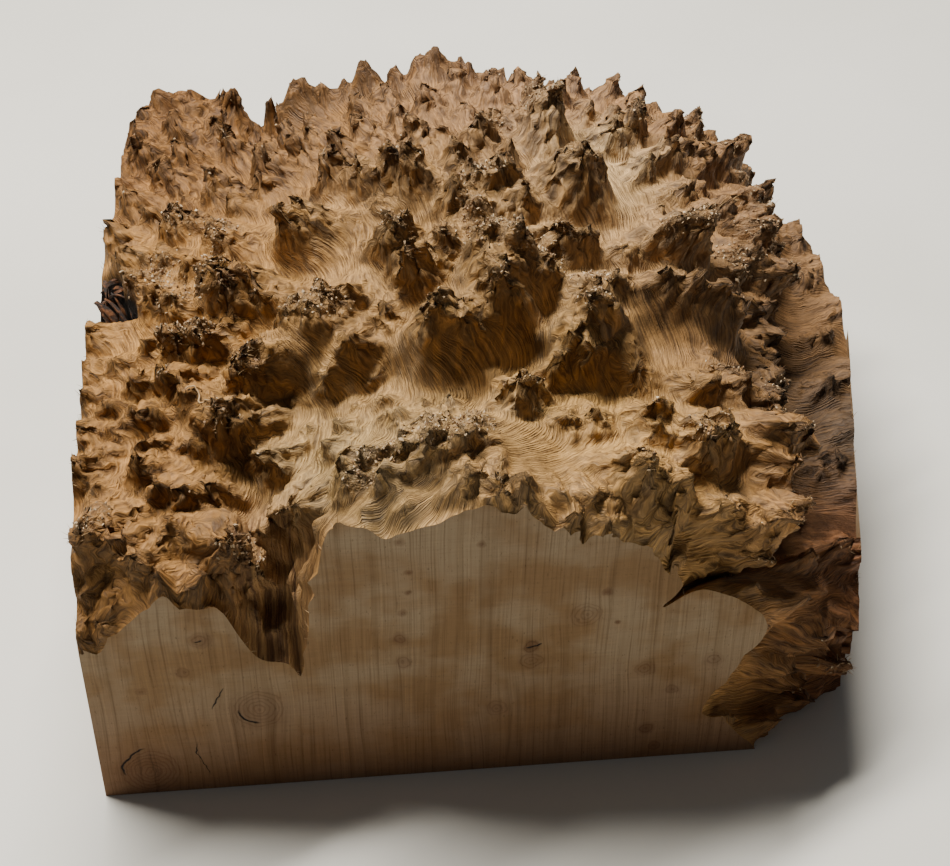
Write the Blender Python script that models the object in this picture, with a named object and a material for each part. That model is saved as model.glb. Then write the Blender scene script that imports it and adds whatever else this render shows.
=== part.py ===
"""Burl bowl blank: one block of burl wood, sawn flat below and on its sides, with its top left as it grew.

The grown skin is a sheet lofted through profiles across the block. Swellings and spikes stand out of
it along its own normal. The sheet closes into a solid, which is then sawn by flat planes."""

import bmesh
import bpy
import numpy as np
from mathutils import Vector, noise

# Overall sizes of the sawn block, in millimetres
WIDTH = 259.0
DEPTH = 240.0

# The block is modelled from its front left bottom corner, then moved to stand centred on the origin
CENTRE = Vector((WIDTH / 2, DEPTH / 2, 0.0))
MM = 0.001

# The saw cuts: a point and the direction that is cut away, in millimetres
SAW_CUTS = {
    "front": ((0, 0, 0), (0, -1, 0)),
    "back": ((0, DEPTH, 0), (0, 1, 0)),
    "left": ((0, 0, 0), (-1, 0, 0)),
    "left rear": ((1.0, 116, 0), (-1, 0.045, 0)),
    "right front": ((242, 43, 0), (1, -0.193, 0)),
    "right": ((WIDTH, 0, 0), (1, 0, 0)),
    "bottom": ((0, 0, 0), (0, 0, -1)),
}

# Profiles of the grown skin, front to back: the depth, then points (x, z) from the left side,
# over the crown, down its right flank into the crease and over the ledge below it
PROFILES = [
    (0, [(-20, 60), (0, 65), (30, 81), (60, 54), (74, 102), (118, 110), (150, 98), (166, 92),
         (173, 82), (176, 75), (171, 67), (184, 73), (203, 55), (186, 20), (201, 4), (200, -15)]),
    (30, [(-20, 86), (0, 88), (30, 91), (58, 84), (88, 106), (120, 110), (150, 103), (176, 98),
          (197, 90), (206, 76), (203, 60), (222, 54), (242, 43), (236, 18), (243, 2), (240, -15)]),
    (60, [(-20, 90), (0, 92), (30, 96), (60, 94), (90, 101), (120, 104), (150, 104), (176, 104),
          (197, 98), (209, 82), (214, 63), (229, 56), (248, 53), (270, 45), (280, 20), (282, -15)]),
    (100, [(-20, 90), (0, 94), (30, 101), (60, 107), (90, 113), (120, 115), (150, 114), (178, 110),
           (200, 101), (214, 85), (221, 67), (235, 59), (253, 58), (273, 48), (282, 20), (282, -15)]),
    (150, [(-20, 90), (0, 94), (30, 102), (60, 111), (90, 119), (120, 122), (150, 121), (180, 115),
           (205, 105), (223, 91), (231, 74), (243, 64), (259, 62), (275, 50), (284, 20), (282, -15)]),
    (200, [(-20, 88), (0, 91), (30, 97), (60, 101), (90, 112), (120, 118), (150, 118), (180, 114),
           (209, 105), (229, 92), (237, 75), (247, 62), (259, 56), (273, 42), (285, 15), (282, -15)]),
    (222, [(-20, 86), (0, 90), (30, 95), (60, 92), (90, 105), (120, 112), (150, 112), (180, 107),
           (209, 97), (226, 81), (234, 60), (242, 44), (255, 35), (268, 26), (282, 8), (282, -15)]),
    (245, [(-20, 84), (0, 88), (30, 93), (60, 82), (90, 95), (120, 101), (150, 100), (180, 93),
           (203, 80), (216, 62), (226, 42), (238, 27), (252, 20), (266, 14), (280, 2), (282, -15)]),
]
CROWN_POINTS = 9  # the profile points that belong to the crown, before its right flank turns under
LEDGE = (10.2, 13.5)  # the profile points between which the ledge lies, which is nearly smooth
LEDGE_FRONT = 46  # the ledge's front end, where its corner turns rough again
FIRST_DEPTH, LAST_DEPTH = -12.0, 252.0
BELOW_FLOOR = -20.0

# Broad swellings of the crown: x, y, height, half width, half depth
SWELLINGS = [
    (28, 228, 9, 26, 24), (74, 82, 15, 17, 15), (113, 76, 15, 17, 15), (132, 95, 14, 15, 18),
    (156, 74, 13, 16, 14), (167, 88, 6, 16, 14), (184, 89, 7, 15, 14), (199, 88, 5, 14, 13),
    (160, 140, 8, 17, 15), (153, 172, 8, 15, 14), (162, 16, 10, 18, 14), (184, 36, 6, 16, 12),
    (192, 20, 7, 12, 11), (204, 45, 8, 14, 12), (122, 30, 5, 22, 16), (45, 62, 7, 14, 12),
    (190, 120, 6, 14, 12), (217, 136, 6, 16, 16), (120, 150, 5, 24, 20), (100, 112, 6, 14, 12),
    (75, 128, 6, 14, 12), (50, 108, 6, 14, 12), (120, 228, 5, 12, 14), (94, 230, 4, 12, 14),
    (74, 230, 9, 11, 14), (42, 22, 6, 12, 10), (12, 22, 4, 12, 12), (206, 20, 4, 12, 11),
]

# Spikes seen from above: x, y, height, radius, and a lean to the right and to the back where they have one
CROWN_SPIKES = [
    # front left, down to the furrow
    (3, 45, 10, 9), (9, 52, 6, 6), (11, 36, 7, 7), (12, 25, 12, 11), (2, 20, 7, 7), (19, 20, 9, 9),
    (7, 13, 7, 6), (12, 5, 8, 8), (22, 13, 11, 9), (27, 5, 9, 7), (4, 3, 7, 8), (26, 50, 8, 7),
    (21, 64, 9, 7), (27, 61, 8, 6), (24, 42, 10, 8), (29, 36, 9, 8), (34, 34, 10, 8), (41, 36, 9, 8),
    (45, 58, 13, 10), (52, 55, 11, 8), (58, 60, 9, 6), (60, 47, 10, 8), (41, 18, 14, 11), (50, 20, 12, 9),
    (59, 27, 9, 8), (66, 30, 10, 9), (72, 24, 9, 8), (78, 42, 6, 6), (81, 50, 6, 6), (30, 22, 7, 7),
    (35, 8, 7, 8), (36, 50, 6, 7), (14, 60, 6, 7), (4, 62, 7, 7), (36, 68, 9, 8), (12, 71, 6, 6),
    # left side, up to the back
    (6, 78, 7, 7), (6, 90, 7, 7), (14, 88, 6, 6), (22, 78, 9, 8), (33, 75, 12, 9), (35, 90, 13, 9),
    (43, 89, 14, 10), (24, 93, 7, 7), (55, 76, 15, 10), (45, 113, 11, 9), (53, 106, 15, 11), (63, 102, 9, 7),
    (27, 115, 9, 10), (32, 107, 9, 8), (6, 106, 8, 8), (19, 129, 9, 8), (37, 128, 8, 8),
    (50, 134, 9, 8), (45, 143, 8, 9), (15, 145, 8, 8), (27, 140, 7, 7), (33, 155, 10, 9), (12, 159, 9, 8),
    (22, 165, 8, 8), (50, 157, 8, 7), (46, 171, 11, 9), (60, 163, 9, 8), (62, 179, 12, 8), (28, 190, 11, 9),
    (14, 182, 9, 9), (33, 202, 10, 8), (50, 203, 12, 8), (64, 192, 9, 7), (17, 208, 11, 9), (8, 196, 8, 8),
    (15, 222, 7, 8), (17, 234, 7, 8), (22, 235, 8, 7), (30, 236, 8, 7), (38, 233, 7, 7), (30, 218, 9, 8),
    (42, 216, 9, 8), (46, 230, 9, 9, -0.35, 0.0), (60, 237, 12, 5), (57, 215, 9, 8),
    # the row of teeth along the back edge
    (71, 233, 6, 8), (78, 234, 5, 8), (85, 233, 6, 6), (92, 234, 5, 7), (99, 234, 6, 7),
    (103, 230, 4, 6), (108, 232, 7, 6), (116, 232, 6, 8), (123, 233, 6, 8), (130, 233, 5, 5),
    (135, 232, 6, 5), (142, 229, 5, 7), (149, 230, 5, 6), (155, 226, 6, 8), (164, 228, 5, 7),
    (173, 226, 4, 5), (179, 229, 5, 6), (188, 222, 3, 6), (194, 227, 5, 6), (201, 222, 5, 7),
    (208, 218, 4, 5), (214, 221, 3, 5), (221, 212, 5, 5),
    # behind the crown
    (73, 184, 10, 8), (80, 192, 9, 8), (88, 175, 11, 8), (86, 156, 12, 9), (94, 149, 11, 7),
    (102, 148, 12, 8), (109, 146, 12, 8), (104, 160, 8, 7), (113, 168, 12, 9), (121, 168, 8, 7),
    (130, 191, 7, 7), (136, 176, 9, 8), (132, 161, 12, 9), (140, 151, 10, 7), (123, 150, 10, 7),
    (152, 182, 13, 9), (155, 171, 13, 10), (142, 178, 8, 7), (137, 140, 13, 9), (121, 133, 10, 7),
    (128, 141, 9, 8), (142, 130, 11, 8), (159, 140, 12, 11), (166, 142, 8, 8), (127, 125, 9, 8),
    (96, 184, 10, 8), (108, 188, 9, 8), (118, 200, 9, 8), (96, 208, 10, 8), (80, 212, 9, 8),
    (72, 205, 10, 8), (104, 212, 9, 8), (128, 212, 10, 8), (140, 205, 10, 8), (150, 212, 10, 7),
    (160, 202, 9, 8), (168, 212, 10, 7), (170, 190, 9, 8), (184, 182, 13, 8), (178, 185, 9, 7),
    (175, 174, 10, 8), (190, 205, 10, 7), (182, 214, 10, 7), (195, 171, 10, 8), (201, 177, 9, 7),
    (208, 176, 10, 8), (200, 190, 10, 8), (210, 200, 10, 7), (186, 160, 9, 8), (207, 146, 10, 8),
    (198, 152, 8, 8), (217, 142, 11, 8), (212, 130, 9, 7), (222, 128, 12, 8), (228, 150, 11, 7),
    (222, 165, 10, 8), (217, 184, 10, 7), (229, 172, 11, 6), (225, 198, 10, 7), (233, 158, 12, 7),
    # the steep row across the middle
    (72, 129, 11, 8), (77, 134, 11, 8), (83, 96, 13, 9), (70, 92, 10, 8), (78, 88, 10, 8),
    (88, 79, 8, 7), (101, 113, 14, 9), (107, 104, 13, 9), (116, 113, 12, 8), (113, 79, 12, 10),
    (121, 77, 9, 7), (128, 104, 13, 9), (137, 104, 14, 10), (132, 115, 10, 9), (130, 88, 14, 10),
    (152, 112, 13, 9), (159, 114, 10, 7), (147, 100, 9, 8), (157, 76, 13, 9), (150, 69, 9, 7),
    (155, 64, 9, 7), (158, 90, 10, 9), (165, 92, 8, 8), (179, 94, 9, 8), (186, 92, 9, 8),
    (193, 91, 9, 8), (200, 92, 9, 8), (191, 120, 15, 10), (184, 118, 10, 8), (207, 118, 9, 7),
    (210, 107, 9, 7), (217, 100, 10, 7), (174, 112, 6, 8), (146, 64, 9, 7), (96, 90, 8, 8),
    # the front crown between the furrow and the right corner
    (132, 49, 13, 9), (137, 51, 10, 7), (107, 30, 10, 8), (105, 22, 11, 9), (114, 22, 11, 9),
    (98, 24, 9, 8), (91, 22, 9, 7), (85, 17, 8, 7), (93, 14, 8, 7), (84, 28, 8, 8), (114, 10, 9, 8),
    (121, 5, 12, 9), (128, 4, 9, 8), (138, 3, 10, 8), (112, 44, 6, 8), (97, 44, 6, 8), (146, 10, 7, 7),
    (160, 17, 13, 11), (170, 14, 9, 8), (171, 43, 12, 8), (170, 35, 8, 7), (179, 32, 12, 9), (187, 37, 11, 9),
    (184, 19, 10, 8), (193, 15, 12, 8), (197, 62, 10, 8), (204, 60, 9, 8), (188, 58, 9, 8),
    (212, 60, 10, 8), (203, 43, 11, 8), (212, 72, 10, 7), (210, 82, 10, 7), (170, 62, 6, 9),
    (146, 40, 6, 8), (154, 42, 6, 8), (152, 3, 7, 7), (165, 5, 7, 7),
]

# Spikes on the right flank, the ledge and the corner below it: x, y, z, height, radius, lean right, lean up
FLANK_SPIKES = [
    (200, 17, 86, 13, 8, 0.6, 0.0), (204, 26, 82, 13, 7, 0.9, 0.1), (191, 12, 86, 9, 7, 0.4, 0.1),
    (202, 34, 86, 11, 7, 0.6, 0.2), (205, 44, 84, 10, 7, 0.5, 0.2), (207, 54, 84, 9, 7, 0.5, 0.1),
    (209, 66, 82, 9, 7, 0.4, 0.1), (212, 78, 84, 10, 7, 0.3, 0.2), (214, 92, 84, 9, 7, 0.3, 0.2),
    (216, 105, 84, 10, 7, 0.3, 0.2), (219, 118, 84, 9, 7, 0.2, 0.2), (222, 132, 84, 10, 7, 0.2, 0.3),
    (224, 146, 83, 9, 6, 0.2, 0.3), (228, 160, 80, 9, 7, 0.2, 0.2), (229, 176, 78, 8, 7, 0.1, 0.2),
    (231, 192, 76, 7, 6, 0.1, 0.2), (229, 210, 75, 8, 7, 0.1, 0.2), (226, 226, 72, 7, 6, 0.0, 0.2),
    (214, 72, 72, 6, 5, 0.4, 0.1), (218, 99, 73, 6, 5, 0.4, 0.1), (223, 124, 74, 6, 5, 0.3, 0.1),
    (197, 14, 72, 8, 6, 0.8, -0.2),
    (204, 10, 56, 9, 7, 0.6, 0.1), (213, 22, 55, 9, 6, 0.5, 0.3), (227, 30, 54, 12, 7, 0.6, 0.4),
    (237, 34, 50, 14, 7, 0.8, 0.1), (214, 16, 42, 12, 8, 0.6, 0.2), (224, 24, 42, 15, 7, 0.8, 0.2),
    (237, 27, 40, 18, 7, 0.9, -0.2), (206, 10, 30, 11, 7, 0.7, 0.2), (218, 20, 28, 16, 7, 0.8, 0.2),
    (230, 28, 28, 14, 7, 0.8, 0.1), (240, 28, 27, 15, 7, 0.9, -0.1), (210, 16, 16, 11, 6, 0.7, 0.2),
    (224, 24, 15, 12, 7, 0.7, 0.1), (236, 30, 12, 11, 7, 0.7, 0.0), (243, 42, 40, 9, 7, 0.5, 0.2),
    (205, 6, 6, 8, 6, 0.5, 0.2), (219, 16, 5, 8, 6, 0.5, 0.2), (232, 66, 56, 4, 8, 0.2, 0.2),
    (236, 70, 57, 6, 9, 0.2, 0.3), (250, 84, 57, 7, 9, 0.3, 0.3), (243, 104, 59, 6, 9, 0.1, 0.3),
    (255, 112, 58, 8, 8, 0.4, 0.2), (246, 128, 61, 6, 9, 0.1, 0.3), (256, 145, 62, 8, 8, 0.4, 0.2),
    (248, 160, 63, 6, 9, 0.1, 0.3), (257, 172, 60, 7, 8, 0.4, 0.2), (249, 186, 61, 6, 9, 0.1, 0.3),
    (256, 203, 56, 8, 8, 0.3, 0.2), (251, 218, 45, 7, 8, 0.2, 0.2), (243, 230, 38, 7, 8, 0.1, 0.2),
    (247, 60, 50, 7, 8, 0.3, 0.2), (254, 72, 46, 7, 7, 0.4, 0.2), (257, 96, 52, 6, 7, 0.4, 0.2),
]

# Hollows and bark pockets: x, y, z, depth, radius
HOLLOWS = [
    (4, 127, 96, 15, 11), (11, 121, 97, 10, 8), (5, 137, 96, 8, 7), (109, 31, 112, 3, 4), (25, 146, 102, 4, 4),
    (212, 134, 100, 5, 5), (171, 56, 104, 4, 12), (204, 106, 103, 5, 7), (66, 118, 112, 4, 8),
    (146, 84, 112, 5, 7), (95, 66, 104, 5, 9), (240, 26, 22, 8, 6), (205, 6, 42, 6, 9),
    (30, 30, 92, 3, 8), (66, 70, 98, 4, 8), (140, 70, 104, 4, 6), (57, 12, 66, 3, 8),
]

# Where the grown skin ends on the front saw cut, and the row of teeth it ends in on the back one: x, z
FRONT_EDGE = [
    (0, 65), (4, 65), (16, 76), (24, 84), (27, 88), (29, 81), (34, 80), (39, 80), (43, 76), (47, 66),
    (50, 59), (53, 56), (60, 54), (66, 52), (68, 60), (70, 84), (72, 101), (76, 108), (80, 107), (85, 106),
    (90, 101), (94, 103), (100, 105), (105, 106), (111, 110), (117, 112), (122, 112), (131, 109),
    (136, 102), (142, 97), (148, 98), (157, 97), (164, 93), (170, 88), (174, 80),
]
BACK_EDGE = [
    (0, 80), (4, 82), (8, 88), (11, 95), (15, 102), (22, 108), (31, 109), (36, 106), (42, 104), (45, 109),
    (47, 108), (51, 101), (57, 92), (59, 98), (60, 103), (62, 99), (64, 92), (66, 94), (69, 109),
    (74, 112), (79, 108), (82, 101), (85, 107), (89, 110), (91, 103), (93, 115), (96, 117), (99, 116),
    (104, 106), (106, 107), (108, 115), (111, 105), (114, 112), (117, 117), (121, 119), (126, 117),
    (130, 113), (132, 116), (134, 112), (138, 113), (143, 112), (150, 113),
]
EDGE_REACH = 7.0  # how far in from a saw cut the skin still follows its outline
EDGE_HOLD = 0.75  # how much of its distance from a saw cut a spike may lean towards it

# Small spikes fill the skin between the large ones, but not in its smooth valleys: x, y, radius
VALLEYS = [
    (137, 32, 15), (118, 57, 14), (104, 66, 10), (158, 50, 15), (122, 80, 9), (142, 15, 10), (158, 5, 11),
    (156, 132, 12), (172, 148, 14), (182, 125, 10), (176, 88, 10), (69, 111, 11), (94, 95, 10),
    (76, 45, 9), (50, 64, 8), (170, 66, 12), (140, 66, 10), (112, 124, 9), (172, 105, 9),
]
SMALL_SPIKE_TRIES = 1500
SMALL_SPIKE_RADIUS = (3.5, 6.5)
SMALL_SPIKE_HEIGHT = 0.8  # of its radius
SMALL_SPIKE_SPACING = 0.86  # of the two radii together

# How the spikes stand: with blunt crumbling tips, flutes round them, leaning away from the burl's
# middle and falling more gently towards it
SPIKE_HEIGHT = 1.3
SPIKE_SPREAD = 1.4
SPIKE_POINT = 1.7
BLUNTNESS = 0.01  # for each millimetre of a spike's radius
BURL_MIDDLE = Vector((130, 130, 0))
OUTWARD_LEAN = 0.38  # for each 100 millimetres from the burl's middle
UPRIGHT_EDGE = 20.0  # within this of the front and back saw cuts, spikes stand more upright
INWARD_SPREAD = 1.5
FLUTES = 5
FLUTE_DEPTH = 0.13
CRUMBLE = 0.16

# The sheet's mesh before it is thinned
SHEET_STEP = 1.9
TRIANGLES = 10800
SEED = 7


def smooth_curve(points, at):
    """A smooth curve through evenly numbered points, read at the given numbers."""
    last = len(points) - 1
    at = np.clip(at, 0, last - 1e-9)
    first = at.astype(int)
    part = (at - first).reshape(-1, *[1] * (points.ndim - 1))
    a, b, c, d = (points[np.clip(first + k, 0, last)] for k in (-1, 0, 1, 2))
    return b + 0.5 * part * (c - a + part * (2 * a - 5 * b + 4 * c - d + part * (3 * (b - c) + d - a)))


def lengths(points, axis):
    """How far along the sheet each point lies, in one direction."""
    steps = np.linalg.norm(np.diff(points, axis=axis), axis=2)
    return np.insert(np.cumsum(steps, axis=axis), 0, 0.0, axis=axis)


def lofted_sheet(step):
    """The grown skin without its relief, as a grid of points about one step apart."""
    depths = np.array([depth for depth, _ in PROFILES], float)
    profiles = np.array([points for _, points in PROFILES], float)
    rows = np.linspace(FIRST_DEPTH, LAST_DEPTH, round((LAST_DEPTH - FIRST_DEPTH) / step))
    at_row = smooth_curve(profiles, np.interp(rows, depths, np.arange(len(depths))))

    fine = np.linspace(0, profiles.shape[1] - 1, 600)
    trial = smooth_curve(at_row.swapaxes(0, 1), fine)
    run = lengths(trial, 0).mean(axis=1)
    numbers = np.interp(np.linspace(0, run[-1], round(run[-1] / step)), run, fine)
    across = smooth_curve(at_row.swapaxes(0, 1), numbers)
    depth = np.broadcast_to(rows, across.shape[:2])
    return np.stack([across[..., 0], depth, across[..., 1]], axis=2), numbers


def normals_of(points):
    normal = np.cross(np.gradient(points, axis=0), np.gradient(points, axis=1))
    normal /= np.linalg.norm(normal, axis=2, keepdims=True)
    return normal * np.sign(normal[len(points) // 4, points.shape[1] // 2, 2])


# Blender's noise is seeded from the clock unless it is told otherwise. This seed gives the kept relief.
NOISE_SEED = 1795847714
noise.seed_set(NOISE_SEED)


def noise_at(points, scale, shift):
    """A smooth random vector at each point."""
    flat = points.reshape(-1, 3) / scale + shift
    return np.array([noise.noise_vector(p) for p in flat]).reshape(points.shape)


class Skin:
    """The grown skin: its base sheet, and what stands out of it."""

    def __init__(self, step):
        self.base, self.numbers = lofted_sheet(step)
        self.normal = normals_of(self.base)
        self.over = lengths(self.base, 0)
        self.back = lengths(self.base, 1)
        wander = 2.6 * noise_at(self.base, 14.0, 3.0) + 1.3 * noise_at(self.base, 5.0, 9.0)
        self.wander = wander[..., :2]

    def nearest(self, place, crown_only=False):
        gap = np.linalg.norm((self.base - place)[..., : 2 if crown_only else 3], axis=2)
        if crown_only:
            gap = np.where((self.numbers < CROWN_POINTS)[:, None], gap, 1e6)
        return np.unravel_index(np.argmin(gap), gap.shape)

    def offsets(self, spot):
        """How far each point lies from a spot, over the crown and to the back, along the sheet."""
        i, j = spot
        over = self.over - self.over[i] + self.wander[..., 0]
        back = self.back - self.back[:, j, None] + self.wander[..., 1]
        return over, back

    def relief(self):
        rise = np.zeros_like(self.base)
        for x, y, height, wide, deep in SWELLINGS:
            over, back = self.offsets(self.nearest((x, y, 0), True))
            away = np.clip(np.hypot(over / wide, back / deep) / 1.35, 0, 1)
            rise += (height * (1 - away**2) ** 2)[..., None] * self.normal

        spikes = [
            (self.nearest((x, y, 0), True), height, radius, (*(lean or (0, 0)), 0))
            for x, y, height, radius, *lean in CROWN_SPIKES
        ] + [
            (self.nearest((x, y, z)), height, radius, (right, 0, up))
            for x, y, z, height, radius, right, up in FLANK_SPIKES
        ]
        spikes += [
            (self.nearest(place), SMALL_SPIKE_HEIGHT * radius, radius, (0, 0, 0))
            for place, radius in self.small_spikes(spikes)
        ]
        power = np.zeros(self.base.shape[:2])
        pull = np.zeros_like(self.base)
        for number, (spot, height, radius, lean) in enumerate(spikes):
            over, back = self.offsets(spot)
            flutes = np.cos(FLUTES * np.arctan2(back, over) + 2.4 * number)
            out = (self.base[spot] - BURL_MIDDLE) * (1, 1, 0)
            out_over, out_back = out[:2] / np.linalg.norm(out)
            ahead = over * out_over + back * out_back
            away = np.hypot(ahead / np.where(ahead < 0, INWARD_SPREAD, 1), back * out_over - over * out_back)
            away = away / (SPIKE_SPREAD * radius) * (1 + FLUTE_DEPTH * flutes)
            blunt = BLUNTNESS * radius
            away = np.hypot(away, blunt) - blunt
            share = SPIKE_HEIGHT * height * np.clip(1 - away, 0, 1) ** SPIKE_POINT
            upright = np.clip(min(self.base[spot][1], DEPTH - self.base[spot][1]) / UPRIGHT_EDGE, 0, 1)
            way = self.normal[spot] + upright * (lean + OUTWARD_LEAN * out / 100)
            power += share**4
            pull += (share**4)[..., None] * (way / np.linalg.norm(way))
        length = np.linalg.norm(pull, axis=2, keepdims=True)
        stands = power[..., None] ** 0.25
        crumbs = noise_at(self.base, 3.4, 5.0) + noise_at(self.base, 1.9, 8.0)
        rise += pull / np.maximum(length, 1e-9) * stands + CRUMBLE * stands * crumbs

        for x, y, z, depth, radius in HOLLOWS:
            away = np.clip(np.hypot(*self.offsets(self.nearest((x, y, z)))) / (1.2 * radius), 0, 1)
            rise -= (depth * (1 - away**2) ** 2)[..., None] * self.normal
        return rise

    def meet_edge(self, points, depth, edge):
        """The crown raised or lowered near a saw cut, so that it meets the cut along the outline."""
        crown = np.clip(CROWN_POINTS - self.numbers, 0, 1)[:, None]
        inside = np.clip(points[..., 1] if depth == 0 else depth - points[..., 1], 0, None)
        fade = crown * np.exp(-((inside / EDGE_REACH) ** 2))
        at_x, at_z = (np.array(values, float) for values in zip(*edge))
        places = np.arange(at_x[0], at_x[-1], 1.5)
        for _ in range(3):
            near = (np.abs(points[..., 1] - depth) < 2) & (crown == 1)
            x, z = points[near][:, 0], points[near][:, 2]
            weights = np.exp(-(((places[:, None] - x) / 2) ** 2))
            lift = np.interp(places, at_x, at_z) - (weights * z).sum(axis=1) / weights.sum(axis=1)
            lift = 0.7 * np.clip(np.convolve(lift, (0.25, 0.5, 0.25), "same"), -6, 6)
            points[..., 2] += fade * np.interp(points[..., 0], places, lift, right=0)
        return points

    def held_back(self, points):
        """Relief near the front and back cuts kept on its own side of them, so each outline is clean."""
        for depth in (0.0, DEPTH):
            push = points[..., 1] - self.base[..., 1]
            room = EDGE_HOLD * np.abs(depth - self.base[..., 1]) + 1e-6
            towards = push * (depth - self.base[..., 1]) > 0
            points[..., 1] = self.base[..., 1] + np.where(towards, room * np.tanh(push / room), push)
        return points

    def grown(self):
        """The skin with its relief."""
        points = self.held_back(self.base + self.relief())
        points = self.meet_edge(points, 0.0, FRONT_EDGE)
        return self.meet_edge(points, DEPTH, BACK_EDGE)

    def small_spikes(self, spikes):
        """Small spikes wherever there is room between those already there."""
        random = np.random.default_rng(SEED)
        taken = [(self.base[spot], radius) for spot, _, radius, _ in spikes]
        for u, v, size in random.random((SMALL_SPIKE_TRIES, 3)):
            spot = int(u * (len(self.base) - 1)), int(v * (self.base.shape[1] - 1))
            radius = SMALL_SPIKE_RADIUS[0] + size * (SMALL_SPIKE_RADIUS[1] - SMALL_SPIKE_RADIUS[0])
            place = self.base[spot]
            if LEDGE[0] < self.numbers[spot[0]] < LEDGE[1] and place[1] > LEDGE_FRONT:
                continue
            if any(np.hypot(place[0] - x, place[1] - y) < clear for x, y, clear in VALLEYS):
                continue
            places, radii = (np.array(values) for values in zip(*taken))
            gaps = np.linalg.norm(places - place, axis=1)
            if (gaps > SMALL_SPIKE_SPACING * (radii + radius)).all():
                taken.append((place, radius))
        return taken[len(spikes) :]


def closed_mesh(grid, name):
    """The sheet closed by upright sides and a bottom below the floor."""
    shape = bmesh.new()
    rows = [[shape.verts.new(point) for point in line] for line in grid]
    for line, following in zip(rows, rows[1:]):
        for a, b, c, d in zip(line, following, following[1:], line[1:]):
            shape.faces.new((a, b, c, d))
    rim = rows[0] + [line[-1] for line in rows[1:]] + rows[-1][-2::-1] + [line[0] for line in rows[-2:0:-1]]
    foot = [shape.verts.new((vert.co.x, vert.co.y, BELOW_FLOOR)) for vert in rim]
    for k in range(len(rim)):
        shape.faces.new((rim[k - 1], rim[k], foot[k], foot[k - 1]))
    shape.faces.new(foot)
    bmesh.ops.recalc_face_normals(shape, faces=shape.faces)
    mesh = bpy.data.meshes.new(name)
    shape.to_mesh(mesh)
    shape.free()
    return mesh


def thinned(mesh, triangles):
    """The same shape with fewer triangles."""
    helper = bpy.data.objects.new("helper", mesh)
    bpy.context.scene.collection.objects.link(helper)
    mesh.calc_loop_triangles()
    decimate = helper.modifiers.new("Thin", "DECIMATE")
    decimate.ratio = triangles / len(mesh.loop_triangles)
    graph = bpy.context.evaluated_depsgraph_get()
    result = bpy.data.meshes.new_from_object(helper.evaluated_get(graph))
    bpy.data.objects.remove(helper)
    return result


def sawn(mesh):
    """The mesh cut by each saw plane, with the cut closed by a flat face."""
    shape = bmesh.new()
    shape.from_mesh(mesh)
    for point, away in SAW_CUTS.values():
        everything = shape.verts[:] + shape.edges[:] + shape.faces[:]
        cut = bmesh.ops.bisect_plane(
            shape, geom=everything, plane_co=point, plane_no=away, clear_outer=True, dist=1e-4
        )
        edges = [e for e in cut["geom_cut"] if isinstance(e, bmesh.types.BMEdge)]
        bmesh.ops.triangle_fill(shape, edges=edges, use_beauty=True)
    bmesh.ops.triangulate(shape, faces=shape.faces)
    bmesh.ops.recalc_face_normals(shape, faces=shape.faces)
    for vert in shape.verts:
        vert.co = (vert.co - CENTRE) * MM
    shape.to_mesh(mesh)
    shape.free()
    return mesh


for old in list(bpy.data.objects):
    bpy.data.objects.remove(old)

block = sawn(thinned(closed_mesh(Skin(SHEET_STEP).grown(), "burl_blank"), TRIANGLES))
burl = bpy.data.objects.new("burl_blank", block)
bpy.context.scene.collection.objects.link(burl)

wood = bpy.data.materials.new("burl wood")
wood.use_nodes = True
shader = wood.node_tree.nodes["Principled BSDF"]
shader.inputs["Base Color"].default_value = (0.27, 0.16, 0.08, 1.0)
shader.inputs["Roughness"].default_value = 0.78
shader.inputs["Metallic"].default_value = 0.0
block.materials.append(wood)
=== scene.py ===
"""The burl bowl blank as photographed: the grown top, the sawn faces and the loose fibre on them."""

import bmesh
import bpy
import numpy as np
from mathutils import Matrix, Vector, noise
from mathutils.bvhtree import BVHTree


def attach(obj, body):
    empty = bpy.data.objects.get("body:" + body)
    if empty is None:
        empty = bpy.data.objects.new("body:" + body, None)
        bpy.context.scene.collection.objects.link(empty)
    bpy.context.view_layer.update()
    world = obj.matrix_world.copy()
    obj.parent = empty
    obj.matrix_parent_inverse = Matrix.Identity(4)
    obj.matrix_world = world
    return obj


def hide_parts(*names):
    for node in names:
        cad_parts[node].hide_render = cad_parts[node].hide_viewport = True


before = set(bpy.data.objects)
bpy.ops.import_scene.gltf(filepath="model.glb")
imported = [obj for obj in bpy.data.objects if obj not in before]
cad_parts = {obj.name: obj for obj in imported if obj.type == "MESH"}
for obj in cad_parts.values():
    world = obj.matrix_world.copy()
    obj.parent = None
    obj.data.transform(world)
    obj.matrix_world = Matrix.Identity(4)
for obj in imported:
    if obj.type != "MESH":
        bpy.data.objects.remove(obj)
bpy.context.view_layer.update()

MM = 0.001

# The block is drawn from its front left bottom corner, in millimetres, and stands centred on the origin.
WIDTH, DEPTH = 259.0, 240.0
CENTRE = Vector((WIDTH / 2, DEPTH / 2, 0.0))


# Camera: where the photograph was taken from, 40 degrees above the table and a little to the left
# of the block's middle, worked out from the block's straight sawn edges.
def in_scene(name, data):
    """A new object of the data, linked to the scene."""
    made = bpy.data.objects.new(name, data)
    bpy.context.scene.collection.objects.link(made)
    return made


camera_data = bpy.data.cameras.new("camera")
camera = in_scene("camera", camera_data)
bpy.context.scene.camera = camera
camera_data.lens = 72
camera_data.sensor_width = 36
camera_data.clip_start = 0.01
looking = Vector((0.0711, 0.7627, -0.6428)).normalized()
level = looking.cross(Vector((0, 0, 1))).normalized()
camera.matrix_world = Matrix.Translation((Vector((78.98, -389.06, 466.26)) - CENTRE) * MM) @ Matrix(
    (level, level.cross(looking), -looking)
).transposed().to_4x4()


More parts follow.
